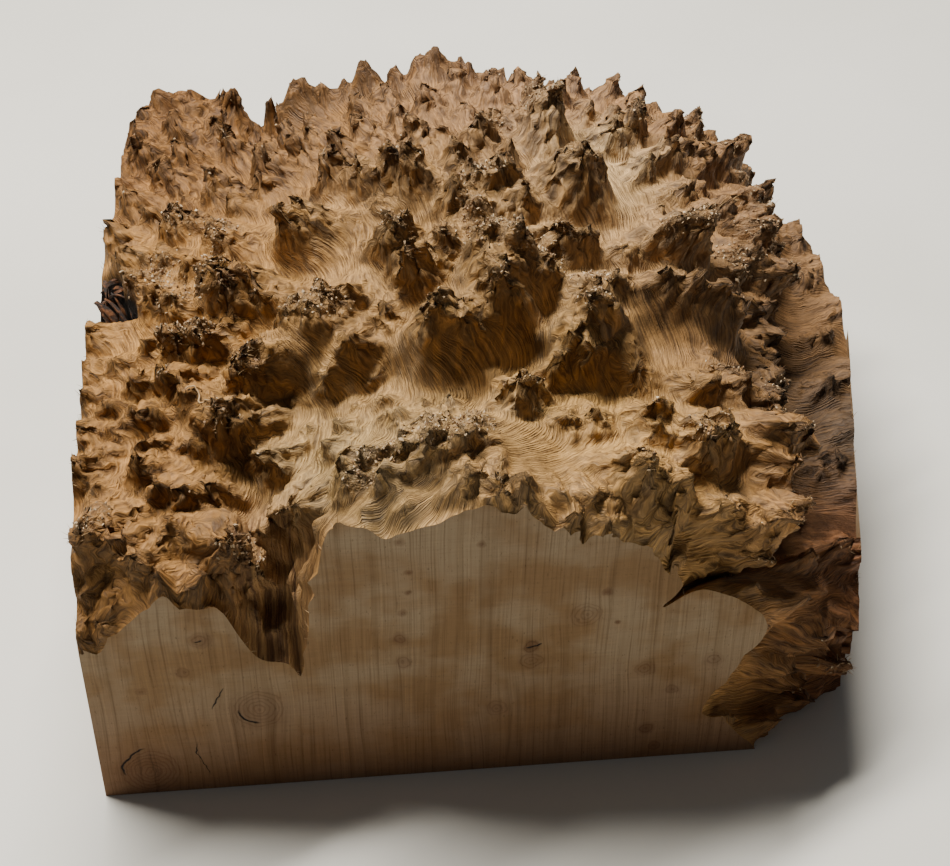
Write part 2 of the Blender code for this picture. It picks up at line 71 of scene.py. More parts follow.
# The block itself, one piece of burl wood. Its top is the skin that lay under the bark, with a spike
# for each bud, and the other sides are sawn. The skin is a sheet through profiles of the block, the
# swellings and spikes stand out of it, and flat planes then saw it, as they sawed the real one.
# The saw cuts: a point and the direction that is cut away, in millimetres
SAW_CUTS = {
    "front": ((0, 0, 0), (0, -1, 0)),
    "back": ((0, DEPTH, 0), (0, 1, 0)),
    "left": ((0, 0, 0), (-1, 0, 0)),
    "left rear": ((1.0, 116, 0), (-1, 0.045, 0)),
    "right front": ((242, 43, 0), (1, -0.193, 0)),
    "right": ((WIDTH, 0, 0), (1, 0, 0)),
    "bottom": ((0, 0, 0), (0, 0, -1)),
}

# Profiles of the grown skin, front to back: the depth, then points (x, z) from the left side,
# over the crown, down its right flank into the crease and over the ledge below it
PROFILES = [
    (0, [(-20, 60), (0, 65), (30, 81), (60, 54), (74, 102), (118, 110), (150, 98), (166, 92),
         (173, 82), (176, 75), (171, 67), (184, 73), (203, 55), (186, 20), (201, 4), (200, -15)]),
    (30, [(-20, 86), (0, 88), (30, 91), (58, 84), (88, 106), (120, 110), (150, 103), (176, 98),
          (197, 90), (206, 76), (203, 60), (222, 54), (242, 43), (236, 18), (243, 2), (240, -15)]),
    (60, [(-20, 90), (0, 92), (30, 96), (60, 94), (90, 101), (120, 104), (150, 104), (176, 104),
          (197, 98), (209, 82), (214, 63), (229, 56), (248, 53), (270, 45), (280, 20), (282, -15)]),
    (100, [(-20, 90), (0, 94), (30, 101), (60, 107), (90, 113), (120, 115), (150, 114), (178, 110),
           (200, 101), (214, 85), (221, 67), (235, 59), (253, 58), (273, 48), (282, 20), (282, -15)]),
    (150, [(-20, 90), (0, 94), (30, 102), (60, 111), (90, 119), (120, 122), (150, 121), (180, 115),
           (205, 105), (223, 91), (231, 74), (243, 64), (259, 62), (275, 50), (284, 20), (282, -15)]),
    (200, [(-20, 88), (0, 91), (30, 97), (60, 101), (90, 112), (120, 118), (150, 118), (180, 114),
           (209, 105), (229, 92), (237, 75), (247, 62), (259, 56), (273, 42), (285, 15), (282, -15)]),
    (222, [(-20, 86), (0, 90), (30, 95), (60, 92), (90, 105), (120, 112), (150, 112), (180, 107),
           (209, 97), (226, 81), (234, 60), (242, 44), (255, 35), (268, 26), (282, 8), (282, -15)]),
    (245, [(-20, 84), (0, 88), (30, 93), (60, 82), (90, 95), (120, 101), (150, 100), (180, 93),
           (203, 80), (216, 62), (226, 42), (238, 27), (252, 20), (266, 14), (280, 2), (282, -15)]),
]
CROWN_POINTS = 9  # the profile points that belong to the crown, before its right flank turns under
LEDGE = (10.2, 13.5)  # the profile points between which the ledge lies, which is nearly smooth
LEDGE_FRONT = 46  # the ledge's front end, where its corner turns rough again
FIRST_DEPTH, LAST_DEPTH = -12.0, 252.0
BELOW_FLOOR = -20.0

# Broad swellings of the crown: x, y, height, half width, half depth
SWELLINGS = [
    (28, 228, 9, 26, 24), (74, 82, 15, 17, 15), (113, 76, 15, 17, 15), (132, 95, 14, 15, 18),
    (156, 74, 13, 16, 14), (167, 88, 6, 16, 14), (184, 89, 7, 15, 14), (199, 88, 5, 14, 13),
    (160, 140, 8, 17, 15), (153, 172, 8, 15, 14), (162, 16, 10, 18, 14), (184, 36, 6, 16, 12),
    (192, 20, 7, 12, 11), (204, 45, 8, 14, 12), (122, 30, 5, 22, 16), (45, 62, 7, 14, 12),
    (190, 120, 6, 14, 12), (217, 136, 6, 16, 16), (120, 150, 5, 24, 20), (100, 112, 6, 14, 12),
    (75, 128, 6, 14, 12), (50, 108, 6, 14, 12), (120, 228, 5, 12, 14), (94, 230, 4, 12, 14),
    (74, 230, 9, 11, 14), (42, 22, 6, 12, 10), (12, 22, 4, 12, 12), (206, 20, 4, 12, 11),
]

# Spikes seen from above: x, y, height, radius, and a lean to the right and to the back where they have one
CROWN_SPIKES = [
    # front left, down to the furrow
    (3, 45, 10, 9), (9, 52, 6, 6), (11, 36, 7, 7), (12, 25, 12, 11), (2, 20, 7, 7), (19, 20, 9, 9),
    (7, 13, 7, 6), (12, 5, 8, 8), (22, 13, 11, 9), (27, 5, 9, 7), (4, 3, 7, 8), (26, 50, 8, 7),
    (21, 64, 9, 7), (27, 61, 8, 6), (24, 42, 10, 8), (29, 36, 9, 8), (34, 34, 10, 8), (41, 36, 9, 8),
    (45, 58, 13, 10), (52, 55, 11, 8), (58, 60, 9, 6), (60, 47, 10, 8), (41, 18, 14, 11), (50, 20, 12, 9),
    (59, 27, 9, 8), (66, 30, 10, 9), (72, 24, 9, 8), (78, 42, 6, 6), (81, 50, 6, 6), (30, 22, 7, 7),
    (35, 8, 7, 8), (36, 50, 6, 7), (14, 60, 6, 7), (4, 62, 7, 7), (36, 68, 9, 8), (12, 71, 6, 6),
    # left side, up to the back
    (6, 78, 7, 7), (6, 90, 7, 7), (14, 88, 6, 6), (22, 78, 9, 8), (33, 75, 12, 9), (35, 90, 13, 9),
    (43, 89, 14, 10), (24, 93, 7, 7), (55, 76, 15, 10), (45, 113, 11, 9), (53, 106, 15, 11), (63, 102, 9, 7),
    (27, 115, 9, 10), (32, 107, 9, 8), (6, 106, 8, 8), (19, 129, 9, 8), (37, 128, 8, 8),
    (50, 134, 9, 8), (45, 143, 8, 9), (15, 145, 8, 8), (27, 140, 7, 7), (33, 155, 10, 9), (12, 159, 9, 8),
    (22, 165, 8, 8), (50, 157, 8, 7), (46, 171, 11, 9), (60, 163, 9, 8), (62, 179, 12, 8), (28, 190, 11, 9),
    (14, 182, 9, 9), (33, 202, 10, 8), (50, 203, 12, 8), (64, 192, 9, 7), (17, 208, 11, 9), (8, 196, 8, 8),
    (15, 222, 7, 8), (17, 234, 7, 8), (22, 235, 8, 7), (30, 236, 8, 7), (38, 233, 7, 7), (30, 218, 9, 8),
    (42, 216, 9, 8), (46, 230, 9, 9, -0.35, 0.0), (60, 237, 12, 5), (57, 215, 9, 8),
    # the row of teeth along the back edge
    (71, 233, 6, 8), (78, 234, 5, 8), (85, 233, 6, 6), (92, 234, 5, 7), (99, 234, 6, 7),
    (103, 230, 4, 6), (108, 232, 7, 6), (116, 232, 6, 8), (123, 233, 6, 8), (130, 233, 5, 5),
    (135, 232, 6, 5), (142, 229, 5, 7), (149, 230, 5, 6), (155, 226, 6, 8), (164, 228, 5, 7),
    (173, 226, 4, 5), (179, 229, 5, 6), (188, 222, 3, 6), (194, 227, 5, 6), (201, 222, 5, 7),
    (208, 218, 4, 5), (214, 221, 3, 5), (221, 212, 5, 5),
    # behind the crown
    (73, 184, 10, 8), (80, 192, 9, 8), (88, 175, 11, 8), (86, 156, 12, 9), (94, 149, 11, 7),
    (102, 148, 12, 8), (109, 146, 12, 8), (104, 160, 8, 7), (113, 168, 12, 9), (121, 168, 8, 7),
    (130, 191, 7, 7), (136, 176, 9, 8), (132, 161, 12, 9), (140, 151, 10, 7), (123, 150, 10, 7),
    (152, 182, 13, 9), (155, 171, 13, 10), (142, 178, 8, 7), (137, 140, 13, 9), (121, 133, 10, 7),
    (128, 141, 9, 8), (142, 130, 11, 8), (159, 140, 12, 11), (166, 142, 8, 8), (127, 125, 9, 8),
    (96, 184, 10, 8), (108, 188, 9, 8), (118, 200, 9, 8), (96, 208, 10, 8), (80, 212, 9, 8),
    (72, 205, 10, 8), (104, 212, 9, 8), (128, 212, 10, 8), (140, 205, 10, 8), (150, 212, 10, 7),
    (160, 202, 9, 8), (168, 212, 10, 7), (170, 190, 9, 8), (184, 182, 13, 8), (178, 185, 9, 7),
    (175, 174, 10, 8), (190, 205, 10, 7), (182, 214, 10, 7), (195, 171, 10, 8), (201, 177, 9, 7),
    (208, 176, 10, 8), (200, 190, 10, 8), (210, 200, 10, 7), (186, 160, 9, 8), (207, 146, 10, 8),
    (198, 152, 8, 8), (217, 142, 11, 8), (212, 130, 9, 7), (222, 128, 12, 8), (228, 150, 11, 7),
    (222, 165, 10, 8), (217, 184, 10, 7), (229, 172, 11, 6), (225, 198, 10, 7), (233, 158, 12, 7),
    # the steep row across the middle
    (72, 129, 11, 8), (77, 134, 11, 8), (83, 96, 13, 9), (70, 92, 10, 8), (78, 88, 10, 8),
    (88, 79, 8, 7), (101, 113, 14, 9), (107, 104, 13, 9), (116, 113, 12, 8), (113, 79, 12, 10),
    (121, 77, 9, 7), (128, 104, 13, 9), (137, 104, 14, 10), (132, 115, 10, 9), (130, 88, 14, 10),
    (152, 112, 13, 9), (159, 114, 10, 7), (147, 100, 9, 8), (157, 76, 13, 9), (150, 69, 9, 7),
    (155, 64, 9, 7), (158, 90, 10, 9), (165, 92, 8, 8), (179, 94, 9, 8), (186, 92, 9, 8),
    (193, 91, 9, 8), (200, 92, 9, 8), (191, 120, 15, 10), (184, 118, 10, 8), (207, 118, 9, 7),
    (210, 107, 9, 7), (217, 100, 10, 7), (174, 112, 6, 8), (146, 64, 9, 7), (96, 90, 8, 8),
    # the front crown between the furrow and the right corner
    (132, 49, 13, 9), (137, 51, 10, 7), (107, 30, 10, 8), (105, 22, 11, 9), (114, 22, 11, 9),
    (98, 24, 9, 8), (91, 22, 9, 7), (85, 17, 8, 7), (93, 14, 8, 7), (84, 28, 8, 8), (114, 10, 9, 8),
    (121, 5, 12, 9), (128, 4, 9, 8), (138, 3, 10, 8), (112, 44, 6, 8), (97, 44, 6, 8), (146, 10, 7, 7),
    (160, 17, 13, 11), (170, 14, 9, 8), (171, 43, 12, 8), (170, 35, 8, 7), (179, 32, 12, 9), (187, 37, 11, 9),
    (184, 19, 10, 8), (193, 15, 12, 8), (197, 62, 10, 8), (204, 60, 9, 8), (188, 58, 9, 8),
    (212, 60, 10, 8), (203, 43, 11, 8), (212, 72, 10, 7), (210, 82, 10, 7), (170, 62, 6, 9),
    (146, 40, 6, 8), (154, 42, 6, 8), (152, 3, 7, 7), (165, 5, 7, 7),
]

# Spikes on the right flank, the ledge and the corner below it: x, y, z, height, radius, lean right, lean up
FLANK_SPIKES = [
    (200, 17, 86, 13, 8, 0.6, 0.0), (204, 26, 82, 13, 7, 0.9, 0.1), (191, 12, 86, 9, 7, 0.4, 0.1),
    (202, 34, 86, 11, 7, 0.6, 0.2), (205, 44, 84, 10, 7, 0.5, 0.2), (207, 54, 84, 9, 7, 0.5, 0.1),
    (209, 66, 82, 9, 7, 0.4, 0.1), (212, 78, 84, 10, 7, 0.3, 0.2), (214, 92, 84, 9, 7, 0.3, 0.2),
    (216, 105, 84, 10, 7, 0.3, 0.2), (219, 118, 84, 9, 7, 0.2, 0.2), (222, 132, 84, 10, 7, 0.2, 0.3),
    (224, 146, 83, 9, 6, 0.2, 0.3), (228, 160, 80, 9, 7, 0.2, 0.2), (229, 176, 78, 8, 7, 0.1, 0.2),
    (231, 192, 76, 7, 6, 0.1, 0.2), (229, 210, 75, 8, 7, 0.1, 0.2), (226, 226, 72, 7, 6, 0.0, 0.2),
    (214, 72, 72, 6, 5, 0.4, 0.1), (218, 99, 73, 6, 5, 0.4, 0.1), (223, 124, 74, 6, 5, 0.3, 0.1),
    (197, 14, 72, 8, 6, 0.8, -0.2),
    (204, 10, 56, 9, 7, 0.6, 0.1), (213, 22, 55, 9, 6, 0.5, 0.3), (227, 30, 54, 12, 7, 0.6, 0.4),
    (237, 34, 50, 14, 7, 0.8, 0.1), (214, 16, 42, 12, 8, 0.6, 0.2), (224, 24, 42, 15, 7, 0.8, 0.2),
    (237, 27, 40, 18, 7, 0.9, -0.2), (206, 10, 30, 11, 7, 0.7, 0.2), (218, 20, 28, 16, 7, 0.8, 0.2),
    (230, 28, 28, 14, 7, 0.8, 0.1), (240, 28, 27, 15, 7, 0.9, -0.1), (210, 16, 16, 11, 6, 0.7, 0.2),
    (224, 24, 15, 12, 7, 0.7, 0.1), (236, 30, 12, 11, 7, 0.7, 0.0), (243, 42, 40, 9, 7, 0.5, 0.2),
    (205, 6, 6, 8, 6, 0.5, 0.2), (219, 16, 5, 8, 6, 0.5, 0.2), (232, 66, 56, 4, 8, 0.2, 0.2),
    (236, 70, 57, 6, 9, 0.2, 0.3), (250, 84, 57, 7, 9, 0.3, 0.3), (243, 104, 59, 6, 9, 0.1, 0.3),
    (255, 112, 58, 8, 8, 0.4, 0.2), (246, 128, 61, 6, 9, 0.1, 0.3), (256, 145, 62, 8, 8, 0.4, 0.2),
    (248, 160, 63, 6, 9, 0.1, 0.3), (257, 172, 60, 7, 8, 0.4, 0.2), (249, 186, 61, 6, 9, 0.1, 0.3),
    (256, 203, 56, 8, 8, 0.3, 0.2), (251, 218, 45, 7, 8, 0.2, 0.2), (243, 230, 38, 7, 8, 0.1, 0.2),
    (247, 60, 50, 7, 8, 0.3, 0.2), (254, 72, 46, 7, 7, 0.4, 0.2), (257, 96, 52, 6, 7, 0.4, 0.2),
]

# Hollows and bark pockets: x, y, z, depth, radius
HOLLOWS = [
    (4, 127, 96, 15, 11), (11, 121, 97, 10, 8), (5, 137, 96, 8, 7), (109, 31, 112, 3, 4),
    (25, 146, 102, 4, 4),
    (212, 134, 100, 5, 5), (171, 56, 104, 4, 12), (204, 106, 103, 5, 7), (66, 118, 112, 4, 8),
    (146, 84, 112, 5, 7), (95, 66, 104, 5, 9), (240, 26, 22, 8, 6), (205, 6, 42, 6, 9),
    (30, 30, 92, 3, 8), (66, 70, 98, 4, 8), (140, 70, 104, 4, 6), (57, 12, 66, 3, 8),
]

# Where the grown skin ends on the front saw cut, and the row of teeth it ends in on the back one: x, z
FRONT_EDGE = [
    (0, 65), (4, 65), (16, 76), (24, 84), (27, 88), (29, 81), (34, 80), (39, 80), (43, 76), (47, 66),
    (50, 59), (53, 56), (60, 54), (66, 52), (68, 60), (70, 84), (72, 101), (76, 108), (80, 107), (85, 106),
    (90, 101), (94, 103), (100, 105), (105, 106), (111, 110), (117, 112), (122, 112), (131, 109),
    (136, 102), (142, 97), (148, 98), (157, 97), (164, 93), (170, 88), (174, 80),
]
BACK_EDGE = [
    (0, 80), (4, 82), (8, 88), (11, 95), (15, 102), (22, 108), (31, 109), (36, 106), (42, 104), (45, 109),
    (47, 108), (51, 101), (57, 92), (59, 98), (60, 103), (62, 99), (64, 92), (66, 94), (69, 109),
    (74, 112), (79, 108), (82, 101), (85, 107), (89, 110), (91, 103), (93, 115), (96, 117), (99, 116),
    (104, 106), (106, 107), (108, 115), (111, 105), (114, 112), (117, 117), (121, 119), (126, 117),
    (130, 113), (132, 116), (134, 112), (138, 113), (143, 112), (150, 113),
]
EDGE_REACH = 7.0  # how far in from a saw cut the skin still follows its outline
EDGE_HOLD = 0.75  # how much of its distance from a saw cut a spike may lean towards it

# Small spikes fill the skin between the large ones, but not in its smooth valleys: x, y, radius
VALLEYS = [
    (137, 32, 15), (118, 57, 14), (104, 66, 10), (158, 50, 15), (122, 80, 9), (142, 15, 10), (158, 5, 11),
    (156, 132, 12), (172, 148, 14), (182, 125, 10), (176, 88, 10), (69, 111, 11), (94, 95, 10),
    (76, 45, 9), (50, 64, 8), (170, 66, 12), (140, 66, 10), (112, 124, 9), (172, 105, 9),
]
SMALL_SPIKE_TRIES = 1500
SMALL_SPIKE_RADIUS = (3.5, 6.5)
SMALL_SPIKE_HEIGHT = 0.8  # of its radius
SMALL_SPIKE_SPACING = 0.86  # of the two radii together

# How the spikes stand: with blunt crumbling tips, flutes round them, leaning away from the burl's
# middle and falling more gently towards it
SPIKE_HEIGHT = 1.3
SPIKE_SPREAD = 1.4
SPIKE_POINT = 1.7
BLUNTNESS = 0.01  # for each millimetre of a spike's radius
BURL_MIDDLE = Vector((130, 130, 0))
OUTWARD_LEAN = 0.38  # for each 100 millimetres from the burl's middle
UPRIGHT_EDGE = 20.0  # within this of the front and back saw cuts, spikes stand more upright
INWARD_SPREAD = 1.5
FLUTES = 5
FLUTE_DEPTH = 0.13
CRUMBLE = 0.16  # of a spike's height
CRUMB_GRAINS = ((3.4, 5.0), (1.9, 8.0), (1.2, 2.0))  # the crumbling's grains: size, and shift of their noise

# Spikes are placed on a coarse sheet, as in the CAD part, and drawn on a fine one
PLACING_STEP = 1.9
SKIN_STEP = 0.9
SEED = 7

# Fibre lines run from front to back, swing round each spike and wander slowly in between
FIBRE_SWING = 26.0  # how far a line wanders from straight, in millimetres
FIBRE_SWING_SCALE = 95.0
DEEP_HOLLOW_DEPTH = 7.5  # hollows deeper than this are painted near-black: bark in the left pocket, and painted shade in their depth
SPIKE_CORE = 0.62  # of a spike's radius, which the fibres flow round
COMB_BEND = 0.9  # how much the finest lines follow the relief's contours
COMB_PITCH = 0.95

# Crumbling pale clusters, from the photograph: x, y, radius
CRUMBLED = [
    (24, 132, 8), (29, 122, 6), (33, 111, 5), (42, 111, 5), (46, 134, 5), (34, 156, 6), (47, 142, 6),
    (36, 94, 4), (43, 92, 5), (12, 28, 4), (3, 48, 4), (50, 24, 3), (102, 117, 5), (127, 108, 6),
    (136, 108, 9), (131, 117, 8),
    (128, 140, 6), (153, 176, 7), (135, 172, 6), (107, 26, 6), (114, 26, 5), (92, 25, 6), (87, 17, 5),
    (98, 28, 5), (72, 95, 6), (80, 92, 6), (158, 80, 5), (160, 97, 6), (186, 121, 6), (180, 36, 4),
    (194, 9, 4), (197, 67, 5), (208, 123, 7), (219, 140, 8), (226, 160, 7), (215, 195, 8), (200, 205, 8),
    (230, 185, 7), (105, 160, 5), (120, 31, 5), (127, 127, 5), (147, 106, 6), (212, 62, 6), (214, 74, 6),
]


def smooth_curve(points, at):
    """A smooth curve through evenly numbered points, read at the given numbers."""
    last = len(points) - 1
    at = np.clip(at, 0, last - 1e-9)
    first = at.astype(int)
    part = (at - first).reshape(-1, *[1] * (points.ndim - 1))
    a, b, c, d = (points[np.clip(first + k, 0, last)] for k in (-1, 0, 1, 2))
    return b + 0.5 * part * (c - a + part * (2 * a - 5 * b + 4 * c - d + part * (3 * (b - c) + d - a)))


def lengths(points, axis):
    """How far along the sheet each point lies, in one direction."""
    steps = np.linalg.norm(np.diff(points, axis=axis), axis=2)
    return np.insert(np.cumsum(steps, axis=axis), 0, 0.0, axis=axis)


def lofted_sheet(step):
    """The grown skin without its relief, as a grid of points about one step apart."""
    depths = np.array([depth for depth, _ in PROFILES], float)
    profiles = np.array([points for _, points in PROFILES], float)
    rows = np.linspace(FIRST_DEPTH, LAST_DEPTH, round((LAST_DEPTH - FIRST_DEPTH) / step))
    at_row = smooth_curve(profiles, np.interp(rows, depths, np.arange(len(depths))))

    fine = np.linspace(0, profiles.shape[1] - 1, 600)
    trial = smooth_curve(at_row.swapaxes(0, 1), fine)
    run = lengths(trial, 0).mean(axis=1)
    numbers = np.interp(np.linspace(0, run[-1], round(run[-1] / step)), run, fine)
    across = smooth_curve(at_row.swapaxes(0, 1), numbers)
    depth = np.broadcast_to(rows, across.shape[:2])
    return np.stack([across[..., 0], depth, across[..., 1]], axis=2), numbers


def normals_of(points):
    normal = np.cross(np.gradient(points, axis=0), np.gradient(points, axis=1))
    normal /= np.linalg.norm(normal, axis=2, keepdims=True)
    return normal * np.sign(normal[len(points) // 4, points.shape[1] // 2, 2])


# Blender's noise is seeded from the clock unless it is told otherwise. This seed gives the kept relief.
NOISE_SEED = 1795847714
noise.seed_set(NOISE_SEED)


def noise_at(points, scale, shift):
    """A smooth random vector at each point."""
    flat = points.reshape(-1, 3) / scale + shift
    return np.array([noise.noise_vector(p) for p in flat]).reshape(points.shape)


class Skin:
    """The grown skin: its base sheet, and what stands out of it."""

    def __init__(self, step):
        self.base, self.numbers = lofted_sheet(step)
        self.normal = normals_of(self.base)
        self.over = lengths(self.base, 0)
        self.back = lengths(self.base, 1)
        wander = 2.6 * noise_at(self.base, 14.0, 3.0) + 1.3 * noise_at(self.base, 5.0, 9.0)
        self.wander = wander[..., :2]

    def nearest(self, place, crown_only=False):
        gap = np.linalg.norm((self.base - place)[..., : 2 if crown_only else 3], axis=2)
        if crown_only:
            gap = np.where((self.numbers < CROWN_POINTS)[:, None], gap, 1e6)
        return np.unravel_index(np.argmin(gap), gap.shape)

    def offsets(self, spot):
        """How far each point lies from a spot, over the crown and to the back, along the sheet."""
        i, j = spot
        over = self.over - self.over[i] + self.wander[..., 0]
        back = self.back - self.back[:, j, None] + self.wander[..., 1]
        return over, back

    def large_spikes(self):
        return [
            (self.nearest((x, y, 0), True), height, radius, (*(lean or (0, 0)), 0))
            for x, y, height, radius, *lean in CROWN_SPIKES
        ] + [
            (self.nearest((x, y, z)), height, radius, (right, 0, up))
            for x, y, z, height, radius, right, up in FLANK_SPIKES
        ]

    def small_spikes(self):
        """Small spikes wherever there is room between the large ones, as place and radius."""
        random = np.random.default_rng(SEED)
        taken = [(self.base[spot], radius) for spot, _, radius, _ in self.large_spikes()]
        large = len(taken)
        for u, v, size in random.random((SMALL_SPIKE_TRIES, 3)):
            spot = int(u * (len(self.base) - 1)), int(v * (self.base.shape[1] - 1))
            radius = SMALL_SPIKE_RADIUS[0] + size * (SMALL_SPIKE_RADIUS[1] - SMALL_SPIKE_RADIUS[0])
            place = self.base[spot]
            if LEDGE[0] < self.numbers[spot[0]] < LEDGE[1] and place[1] > LEDGE_FRONT:
                continue
            if any(np.hypot(place[0] - x, place[1] - y) < clear for x, y, clear in VALLEYS):
                continue
            places, radii = (np.array(values) for values in zip(*taken))
            gaps = np.linalg.norm(places - place, axis=1)
            if (gaps > SMALL_SPIKE_SPACING * (radii + radius)).all():
                taken.append((place, radius))
        return taken[large:]

    def held_back(self, points):
        """Relief near the front and back cuts kept on its own side of them, so each outline is clean."""
        for depth in (0.0, DEPTH):
            push = points[..., 1] - self.base[..., 1]
            room = EDGE_HOLD * np.abs(depth - self.base[..., 1]) + 1e-6
            towards = push * (depth - self.base[..., 1]) > 0
            points[..., 1] = self.base[..., 1] + np.where(towards, room * np.tanh(push / room), push)
        return points

    def meet_edge(self, points, depth, edge):
        """The crown raised or lowered near a saw cut, so that it meets the cut along the outline."""
        crown = np.clip(CROWN_POINTS - self.numbers, 0, 1)[:, None]
        inside = np.clip(points[..., 1] if depth == 0 else depth - points[..., 1], 0, None)
        fade = crown * np.exp(-((inside / EDGE_REACH) ** 2))
        at_x, at_z = (np.array(values, float) for values in zip(*edge))
        places = np.arange(at_x[0], at_x[-1], 1.5)
        for _ in range(3):
            near = (np.abs(points[..., 1] - depth) < 2) & (crown == 1)
            x, z = points[near][:, 0], points[near][:, 2]
            weights = np.exp(-(((places[:, None] - x) / 2) ** 2))
            lift = np.interp(places, at_x, at_z) - (weights * z).sum(axis=1) / weights.sum(axis=1)
            lift = 0.7 * np.clip(np.convolve(lift, (0.25, 0.5, 0.25), "same"), -6, 6)
            points[..., 2] += fade * np.interp(points[..., 0], places, lift, right=0)
        return points

    def grow(self, small_spikes):
        """The relief, how far the spikes stand, the fibres' course across and along in millimetres, how
        deep hollows are, and spokes: the way down from the spike that a point belongs to."""
        rise = np.zeros_like(self.base)
        for x, y, height, wide, deep in SWELLINGS:
            over, back = self.offsets(self.nearest((x, y, 0), True))
            away = np.clip(np.hypot(over / wide, back / deep) / 1.35, 0, 1)
            rise += (height * (1 - away**2) ** 2)[..., None] * self.normal

        spikes = self.large_spikes() + [
            (self.nearest(place), SMALL_SPIKE_HEIGHT * radius, radius, (0, 0, 0))
            for place, radius in small_spikes
        ]
        ledge = np.interp(self.numbers, (9.2, 10.4, 13.2, 14.2), (0, 1, 1, 0))[:, None]
        ledge = ledge * np.clip((self.base[..., 1] - 30) / 20, 0, 1)
        swing = FIBRE_SWING * noise_at(self.base, FIBRE_SWING_SCALE, 21.0)
        course = (
            self.over * (1 - ledge) + self.back * ledge + swing[..., 0],
            self.back * (1 - ledge) + self.over * ledge + swing[..., 1],
        )
        bend = [np.zeros_like(self.over), np.zeros_like(self.over)]
        power = np.zeros(self.base.shape[:2])
        pull = np.zeros_like(self.base)
        spoke = np.zeros_like(self.base)
        spoke_weight = np.full(self.base.shape[:2], 1e-6)
        for number, (spot, height, radius, lean) in enumerate(spikes):
            over, back = self.offsets(spot)
            flutes = np.cos(FLUTES * np.arctan2(back, over) + 2.4 * number)
            out = (self.base[spot] - BURL_MIDDLE) * (1, 1, 0)
            out_over, out_back = out[:2] / np.linalg.norm(out)
            ahead = over * out_over + back * out_back
            away = np.hypot(ahead / np.where(ahead < 0, INWARD_SPREAD, 1), back * out_over - over * out_back)
            away = away / (SPIKE_SPREAD * radius) * (1 + FLUTE_DEPTH * flutes)
            blunt = BLUNTNESS * radius
            away = np.hypot(away, blunt) - blunt
            share = SPIKE_HEIGHT * height * np.clip(1 - away, 0, 1) ** SPIKE_POINT
            upright = np.clip(min(self.base[spot][1], DEPTH - self.base[spot][1]) / UPRIGHT_EDGE, 0, 1)
            way = self.normal[spot] + upright * (lean + OUTWARD_LEAN * out / 100)
            power += share**4
            pull += (share**4)[..., None] * (way / np.linalg.norm(way))
            distance = np.hypot(over, back) + 1e-6
            own_noise = np.full_like(over, 6 * (0.618 * number % 1))
            facing = np.stack([over / distance, back / distance, own_noise], axis=2)
            spoke += (share**3)[..., None] * facing
            spoke_weight += share**3
            core = (SPIKE_CORE * radius) ** 2
            near = np.exp(-((np.hypot(over, back) / (2.6 * radius)) ** 2))
            part = core / (over**2 + back**2 + 0.5 * core) * near
            bend[0] -= over * part * (1 - ledge)
            bend[1] += back * part * (1 - ledge)
        length = np.linalg.norm(pull, axis=2, keepdims=True)
        stands = power[..., None] ** 0.25
        crumbs = sum(noise_at(self.base, *grain) for grain in CRUMB_GRAINS)
        rise += pull / np.maximum(length, 1e-9) * stands + CRUMBLE * stands * crumbs

        sunk = np.zeros(self.base.shape[:2])
        for x, y, z, depth, radius in HOLLOWS:
            away = np.clip(np.hypot(*self.offsets(self.nearest((x, y, z)))) / (1.2 * radius), 0, 1)
            rise -= (depth * (1 - away**2) ** 2)[..., None] * self.normal
            sunk = np.maximum(sunk, (1 - away**2) ** 2 * (depth > DEEP_HOLLOW_DEPTH))
        spoke /= spoke_weight[..., None]
        return rise, stands[..., 0], course[0] + bend[0], course[1] + bend[1], sunk, spoke


def spread(values, times):
    """The values blurred over the grid, for telling hollows from crests."""
    for _ in range(times):
        edged = np.pad(values, 1, mode="edge")
        values = (edged[2:, 1:-1] + edged[:-2, 1:-1] + edged[1:-1, 2:] + edged[1:-1, :-2] + 4 * values) / 8
    return values


def grid_mesh(grid, marks, name):
    """The sheet closed by upright sides and a bottom below the floor, with each mark at its points."""
    count, deep = grid.shape[:2]
    order = np.arange(count * deep).reshape(count, deep)
    quads = np.stack([order[:-1, :-1], order[:-1, 1:], order[1:, 1:], order[1:, :-1]], axis=2).reshape(-1, 4)
    rim = np.concatenate([order[0], order[1:, -1], order[-1, -2::-1], order[-2:0:-1, 0]])
    foot = grid.reshape(-1, 3)[rim] * (1, 1, 0) + (0, 0, BELOW_FLOOR)
    below = count * deep + np.arange(len(rim))
    walls = np.stack([np.roll(rim, 1), rim, below, np.roll(below, 1)], axis=1)
    mesh = bpy.data.meshes.new(name)
    points = np.concatenate([grid.reshape(-1, 3), foot])
    mesh.from_pydata(points.tolist(), [], quads.tolist() + walls.tolist() + [below.tolist()])
    for mark, values in marks.items():
        values = values.reshape(count * deep, -1)
        foot_values = values[rim]
        kind, key = ("FLOAT", "value") if values.shape[1] == 1 else ("FLOAT_COLOR", "color")
        layer = mesh.attributes.new(mark, kind, "POINT")
        layer.data.foreach_set(key, np.concatenate([values, foot_values]).ravel().astype(np.float32))
    return mesh


